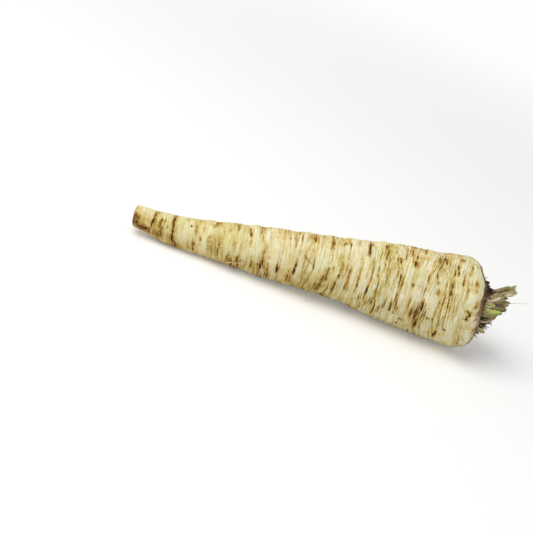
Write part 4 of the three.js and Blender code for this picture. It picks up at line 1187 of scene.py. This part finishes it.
# %% The twelve stubs
INNER = {"start": 199, "inset": 6.5, "thick": 3.7, "flare": 1.15, "ribs": 11, "torn": 1.6, "spread": 0.1}
OUTER = {"start": 197, "inset": 10.9, "thick": 2.7, "flare": 1.5, "ribs": 11, "torn": 1.8, "spread": 0.15}
INNER["fibres"], OUTER["fibres"] = 9, 7
STALK_VALUES = ("angle", "lean", "curl", "length", "width", "age")  # age is given at the base and at the end
STALKS = [
    (INNER, (98, 6, -4, 15.6, 6.2, (0.42, 0.36)), {"inset": 9.9, "torn": 4, "spread": 0.55, "fibres": 18}),
    (INNER, (152, 3, 4, 12, 5.6, (0.44, 0.48)), {"torn": 2.6, "fibres": 14}),
    (INNER, (202, 0, 0, 8, 5, (0.36, 0.44)), {}),
    (INNER, (264, 0, 2, 6, 5, (0.3, 0.6)), {"inset": 6.6}),
    (INNER, (326, 2, 6, 8, 5.2, (0.15, 0.45)), {}),
    (INNER, (34, 0, 2, 10.5, 5.4, (0.3, 0.5)), {}),
    (OUTER, (130, 4, 5, 12, 6, (0.42, 0.46)), {"torn": 3.4}),
    (OUTER, (170, 0, 2, 9, 4.8, (0.24, 0.36)), {"torn": 2.6}),
    (OUTER, (228, 3, 8, 4.5, 6, (0.2, 0.4)), {}),
    (OUTER, (298, 4, 8, 4.5, 6.6, (0.4, 0.7)), {}),
    (OUTER, (356, 4, 8, 7.5, 6.4, (0.12, 0.4)), {}),
    (OUTER, (56, 0, 2, 6.5, 5.4, (0.4, 0.5)), {"inset": 9.4}),
]
FRESH_STALKS = (5, 8, 11)

for number, (kind, values, changes) in enumerate(STALKS, start=1):
    stalk = {**kind, **dict(zip(STALK_VALUES, values)), **changes}
    seed = 100 + 7 * number
    material, slot = (FRESH, "stalk_fresh") if number in FRESH_STALKS else (DRY, "stalk_dry")
    skins = [stub_skin(stalk, seed), *fibre_skins(stalk, seed)]
    make_piece(f"stalk_stub_{number}", skins, material, [f"leaf_stalk_{number}"])

# %% [markdown]
# ## The heart bud
# In the middle of the stalks the next leaves are still folded into a small cone. It is a lathe form
# whose radius swells and falls five times round it, and the folds turn as they rise, because young
# leaves are wrapped round each other.

# %% The heart bud
BUD_OUTLINE = np.array([(0.3, -2.0), (2.1, -1.5), (2.1, 3.3), (1.05, 6.4), (0.05, 7.7)])  # radius, height
BUD_START = 198.0
BUD_ROWS, BUD_POINTS = 44, 40


def bud_skin():
    """Radius by height, times 0.86 + 0.2 |cos(2.5 turns, twisted by the height)|."""
    t = np.linspace(0, len(BUD_OUTLINE) - 1, BUD_ROWS)
    radius, height = (spline(BUD_OUTLINE[:, k], t)[:, None] for k in (0, 1))
    a = np.linspace(0, 2 * np.pi, BUD_POINTS, endpoint=False)[None, :]
    folds = np.abs(np.cos(2.5 * a + 0.5 * height))
    r = radius * (0.86 + 0.2 * folds)
    age = 0.1 + 0.1 * (1 - folds) + 0.25 * smooth(height, 4, 7.7)
    grain = np.stack(np.broadcast_arrays(r * np.cos(a), r * np.sin(a), height), axis=-1) * MM
    return on_root(BUD_START + height + 0 * a, r, a) + SHIFT, {"age": age, "grain": grain}


make_piece("folded_heart", [bud_skin()], FRESH, ["heart_bud"])

# %% [markdown]
# ## Dry scales
# The oldest leaves left brown papery sheaths standing in the trough, like torn collars. A scale is
# curved round the crown and thin at its upper edge. Its rings are slices across it: each slice is a
# thin blade that goes up the outer side, over the edge and down the inner side. Slices differ in
# height and curl, which makes the torn and wavy edge.

# %% The dry scales
SCALE_START = 195.6
SCALE_DEPTH = 2.0  # how far a scale reaches down into the cork
SLICES, SLICE_POINTS = 72, 30


def scale_skin(angle, spread, inset, lean, height, age, seed):
    """Slices from one side of the scale to the other. The height falls off to both sides as
    (1 - q^4), with q from -1 to 1 across the scale, and is cut by a ragged line. A slice leans outwards
    and curls by the square of its height."""
    q = np.linspace(-1, 1, SLICES)[:, None]
    p = np.linspace(0, 2, SLICE_POINTS, endpoint=False)[None, :]
    up_share = 1 - np.abs(1 - p)
    outer = np.where(p < 1, 1.0, 0.0)
    ragged = jagged(SLICES, seed, rough=2)[:, None]
    tall = 1.25 * height * (1 - q**4) * (1 - 0.55 * ragged)
    rise = up_share * (tall + SCALE_DEPTH) - SCALE_DEPTH
    above = np.maximum(rise, 0)
    draw = np.random.default_rng(seed + 1)
    wave = np.sin(q * draw.uniform(4, 7) + draw.uniform(0, 6)) + 0.5 * np.sin(q * draw.uniform(11, 17))
    thick = (1.1 - 0.85 * up_share) * (1 - 0.6 * q**6)
    curl = 0.035 * above**2 * (1 + 0.8 * wave) + 0.22 * wave * smooth(above, 0, 2)
    r = inset + math.tan(math.radians(lean)) * above + outer * thick + curl
    half = math.radians(spread / 2)
    a = math.radians(angle) + q * half + 0.02 * np.sin(above * 1.4 + seed)
    shade = age + 0.12 * wave * up_share - 0.1 * smooth(up_share, 0.9, 1) * ragged
    grain = np.stack(np.broadcast_arrays(q * half * inset + APART * seed, outer, rise), axis=-1) * MM
    return on_root(SCALE_START + rise, r, a) + SHIFT, {"age": shade, "grain": grain}


SCALE_VALUES = ("angle", "spread", "inset", "lean", "height", "age")
SCALES = [
    (100, 56, 15.4, -22, 5.6, 0.86), (154, 48, 14.4, 0, 1.8, 0.84), (210, 54, 13.6, 6, 3.2, 0.8),
    (264, 42, 13.7, 14, 4.8, 0.6), (318, 54, 13.6, 8, 3.4, 0.88), (22, 58, 13.7, 6, 4, 0.82),
]
for number, values in enumerate(SCALES, start=1):
    skin = scale_skin(**dict(zip(SCALE_VALUES, values)), seed=300 + 9 * number)
    make_piece(f"sheath_{number}", [skin], SCALE, [f"dry_scale_{number}"])

# %% [markdown]
# ## Shreds between the stalks
# A real crown is never tidy: strips of old sheath, thick bits of leaf and torn threads fill the gaps.
# Each is a narrow blade, an ellipse carried along a path that bends steadily. Some are chosen, for
# what this crown shows. The rest are scattered, kind by kind, by chance that is seeded and so always
# the same. They are one piece, because hundreds of small objects would only make the scene slow.

# %% Narrow blades
BLADE_ROWS, BLADE_POINTS = 22, 10


def blade_skin(s, r, angle, length, width, thick, lean, curl, sway, age, seed, twist=0):
    """A blade that starts s along the root, r from its axis. Its path turns from lean to lean + curl
    degrees off the root's direction and sways to one side. Its section is an ellipse that twists by
    twist degrees, and narrows to a torn point by the root of 1 - share^3 and a random bite."""
    along, _, outwards, sideways = crown_ways(angle)
    share = np.linspace(0, 1, BLADE_ROWS)
    bend = np.radians(lean + curl * share)[:, None]
    aside = math.radians(sway)
    way = along * np.cos(bend) + outwards * np.sin(bend) + sideways * math.sin(aside) * share[:, None]
    path = on_root(s, r, math.radians(angle)) + np.cumsum(way, axis=0) * length / BLADE_ROWS
    face = outwards * np.cos(bend) - along * np.sin(bend)
    spin = np.radians(twist * share)[:, None]
    flat_way = sideways * np.cos(spin) + face * np.sin(spin)
    thin_way = face * np.cos(spin) - sideways * np.sin(spin)
    edge = 1 - 0.35 * np.random.default_rng(seed).random(BLADE_ROWS) * smooth(share, 0.2, 1)
    taper = (np.sqrt(1 - share**3) * edge + 0.03)[:, None, None] / 2
    turn = np.linspace(0, 2 * np.pi, BLADE_POINTS, endpoint=False)[None, :, None]
    offset = flat_way[:, None] * np.cos(turn) * width + thin_way[:, None] * np.sin(turn) * thick
    shade = age[0] + (age[1] - age[0]) * share[:, None]
    across = np.cos(turn[..., 0]) * width * taper[..., 0] + 7 * seed
    through = np.sin(turn[..., 0]) * thick
    grain = np.stack(np.broadcast_arrays(across, through, share[:, None] * length), axis=-1) * MM
    return path[:, None] + offset * taper + SHIFT, {"age": shade, "grain": grain}


BLADE_VALUES = ("s", "r", "angle", "length", "width", "thick", "lean", "curl", "sway", "age")
CHOSEN_BLADES = [
    (195.6, 16.4, 91, 3.6, 1, 0.35, 50, 30, 20, (0.9, 0.84)),
    (196, 14.5, 116, 7, 3, 0.35, -14, 0, 0, (0.8, 0.74)),
    (196.4, 14.2, 127, 6, 3.6, 0.6, -6, 10, -20, (0.76, 0.72)),
    (206, 13.2, 107, 8.8, 4, 1.4, 22, 8, 0, (0.48, 0.6)),
    (203, 12, 95, 9.4, 3.4, 1.8, 36, 16, 6, (0.44, 0.34)),
    (200, 11.8, 131, 8, 0.9, 0.35, 16, 10, 0, (0.84, 0.78)),
    (201, 13, 118, 7, 0.8, 0.35, 12, 10, 20, (0.88, 0.76)),
    (197, 10.5, 114, 14, 4.6, 1.4, 8, 14, 4, (0.45, 0.4)),
    (198, 9, 124, 14.5, 4.4, 1.6, 8, 12, -4, (0.42, 0.46)),
    (198, 10, 138, 13.5, 3.4, 1.4, 6, 8, -16, (0.4, 0.5)),
    (198, 11.2, 148, 12, 2.8, 1.2, 4, 6, -16, (0.48, 0.4)),
    (198, 11.6, 166, 10.5, 2.6, 1, 0, 4, -26, (0.26, 0.32)),
    (196.6, 14, 158, 4.2, 4.4, 0.8, 0, 6, 0, (0.2, 0.14)),
    (198.4, 13.2, 136, 7.2, 3.2, 0.7, 8, 24, -70, (0.62, 0.63)),
    (198, 13.4, 122, 6.5, 1.6, 0.7, 0, 40, -60, (0.76, 0.7)),
    (196.4, 13.3, 143, 7, 5.6, 0.9, 0, 8, 0, (0.16, 0.18)),
    (198, 12.8, 159, 9.5, 3, 1.1, 2, 4, -16, (0.08, 0.02)),
    (198.5, 12.4, 182, 8.5, 0.9, 0.6, -6, 120, 0, (0.3, 0.86)),
    (197, 14, 188, 6, 1.8, 0.35, 0, 16, -90, (0.6, 0.64)),
    (196, 14.2, 194, 5, 1.5, 0.35, 0, 10, -50, (0.86, 0.9)),
    (195, 14.6, 208, 7, 4, 0.8, 6, 16, 0, (0.2, 0.13)),
    (195, 14.5, 246, 6, 4.4, 0.35, 10, 26, 0, (0.26, 0.2)),
    (199, 13.4, 106, 7.4, 2.4, 0.6, -4, 44, -8, (0.82, 0.7)),
]

# Kinds of shred: how far from the axis, how wide and how thick they are, and their age at both ends.
THREADS = ((4, 15.2), (0.5, 2.4), (0.2, 0.5), (0.7, 1), (0.5, 1))
LEAFLETS = ((2.6, 11.5), (1.8, 3.6), (0.8, 1.6), (0.32, 0.52), (0.38, 0.66))
STRIPS = ((10.5, 15), (1.6, 4.2), (0.25, 0.5), (0.62, 0.86), (0.54, 0.84))


def scattered_blades(count, seed, kind, angles=(0, 360)):
    """Blades of one kind between two angles, shorter towards the rim."""
    draw = np.random.default_rng(seed)
    far, wide, thick, base_age, end_age = kind
    skins = []
    for number in range(count):
        r = draw.uniform(*far)
        skins.append(blade_skin(
            s=197.5 - 2 * smooth(r, 9, 13), r=r, angle=draw.uniform(*angles),
            length=draw.uniform(2.5, 5 + 5 * smooth(r, 15, 6)), width=draw.uniform(*wide),
            thick=draw.uniform(*thick), lean=draw.uniform(-10, 22), curl=draw.uniform(-30, 50),
            sway=draw.uniform(-50, 50), twist=draw.uniform(-160, 160),
            age=(draw.uniform(*base_age), draw.uniform(*end_age)), seed=seed + number,
        ))
    return skins


shreds = [blade_skin(**dict(zip(BLADE_VALUES, values)), seed=500 + number)
          for number, values in enumerate(CHOSEN_BLADES)]
shreds += scattered_blades(70, 520, THREADS)
shreds += scattered_blades(60, 720, LEAFLETS, angles=(190, 440))
shreds += scattered_blades(20, 900, LEAFLETS)
shreds += scattered_blades(70, 1000, STRIPS, angles=(200, 430))
make_piece("crown_shreds", shreds, SCALE)

# %% [markdown]
# ## Rootlets
# Side roots stay on the skin as thin, dry hairs. Each lies along a chosen route over the skin, gets
# thinner towards its end and is never quite straight. It is a round section carried along a smooth
# curve through the route's stops.

# %% The rootlets' material
OCHRE_TO_PALE = {
    0.0: (124, 82, 36), 0.15: (168, 124, 58), 0.45: (182, 140, 70), 0.65: (208, 172, 102),
    0.8: (232, 208, 176),
}
HAIR_STREAK = (140, 104, 54)


def hair_material():
    """Ochre brown where a rootlet leaves the skin and pale at its end, by the attribute age."""
    material, tree = empty_material("rootlet")
    streaky = mask(tree, STREAKS, attribute(tree, "grain", "Vector"), Stretch=(3000, 3000, 400))
    colour = ramp(tree, attribute(tree, "age"), OCHRE_TO_PALE)
    colour = blend(tree, figure(tree, "MULTIPLY", streaky, 0.35), colour, HAIR_STREAK)
    rough = rescale(tree, streaky, target=(0.55, 0.8))
    finish_material(tree, {"Base Color": colour, "Roughness": rough, "Specular IOR Level": 0.3})
    return material


HAIR = hair_material()
print("material", HAIR.name)

# %% Hairs over the skin
HAIR_ROWS, HAIR_POINTS = 64, 8
HAIR_CLEAR = 0.35  # from the skin to a hair's middle, where its route gives no other distance


def hair_skin(s, r, a, radius, seed, age):
    """Rings round the smooth curve through the stops (s, r, a). The first direction across the hair is
    square to its way and to the outward direction, the second is square to both of the others. The
    radius shrinks to two fifths, with small knots."""
    t = np.linspace(0, len(s) - 1, HAIR_ROWS)
    s, r, a = (spline(values, t) for values in (s, r, a))
    kinks = np.random.default_rng(seed).normal(0, 0.12, (HAIR_ROWS, 3)).cumsum(axis=0) * 0.3
    path = on_root(s, r, a) + SHIFT + kinks * np.linspace(0, 1, HAIR_ROWS)[:, None]
    outward = on_root(s, r + 1, a) - on_root(s, r, a)
    way = np.gradient(path, axis=0)
    first = np.cross(way, outward)
    first /= np.linalg.norm(first, axis=1, keepdims=True)
    second = np.cross(way, first)
    second /= np.linalg.norm(second, axis=1, keepdims=True)
    share = np.linspace(0, 1, HAIR_ROWS)[:, None, None]
    knots = 1 + 0.15 * np.sin(share * 31 + seed) + 0.1 * np.sin(share * 73)
    size = radius * (1 - 0.6 * share) * knots
    turn = np.linspace(0, 2 * np.pi, HAIR_POINTS, endpoint=False)[None, :, None]
    rings = path[:, None] + size * (first[:, None] * np.cos(turn) + second[:, None] * np.sin(turn))
    length = np.linalg.norm(way, axis=1).cumsum()[:, None]
    across = size * np.concatenate([np.cos(turn), np.sin(turn)], axis=-1)
    walked = np.broadcast_to(length[..., None] + 9 * seed, across[..., :1].shape)
    grain = np.concatenate([across, walked], axis=-1) * MM
    return rings, {"age": age[0] + (age[1] - age[0]) * share[..., 0], "grain": grain}


HAIR_RADIUS, THREAD_RADIUS, THREAD_ANGLE = 0.4, 0.22, 118
# The stops of each route: distance along the root, angle, and how far off the skin if not HAIR_CLEAR.
ROOTLETS = [
    [(109.2, 158), (108.4, 170), (106.8, 187), (105, 203), (103.4, 219, 1), (102.2, 228, 3.4),
     (101.6, 231, 6)],
    [(95, 146), (96.5, 151), (98.5, 156), (101, 159)],
    [(62.5, 192), (61, 199), (58.5, 206), (55, 210, 1.6)],
    [(62, 20), (60, 4), (57, 346, 1.2), (52, 334, 2.6), (47, 330, 5)],
    [(141, 318), (137, 300), (130, 291, 1.6), (124, 286, 1.8)],
    [(150, 6), (152, 20), (150, 34), (146, 46, 1.2)],
]
for number, stops in enumerate(ROOTLETS, start=1):
    s, angle, off = (np.array(part, float) for part in zip(*[(*stop, HAIR_CLEAR)[:3] for stop in stops]))
    a = np.unwrap(np.radians(angle))
    skin = hair_skin(s, skin_radius(s, a) + off, a, HAIR_RADIUS, seed=number, age=(0, 1))
    make_piece(f"side_rootlet_{number}", [skin], HAIR, [f"rootlet_{number}"])

thread_s, thread_r = np.array([(196, 6.2), (203, 7.6), (211, 10.4), (218, 13.4), (223, 15.2)], float).T
thread_a = np.radians(THREAD_ANGLE) + 0 * thread_s
thread = hair_skin(thread_s, thread_r, thread_a, THREAD_RADIUS, seed=9, age=(0.8, 1))
make_piece("dry_thread", [thread], HAIR, ["crown_fibre"])
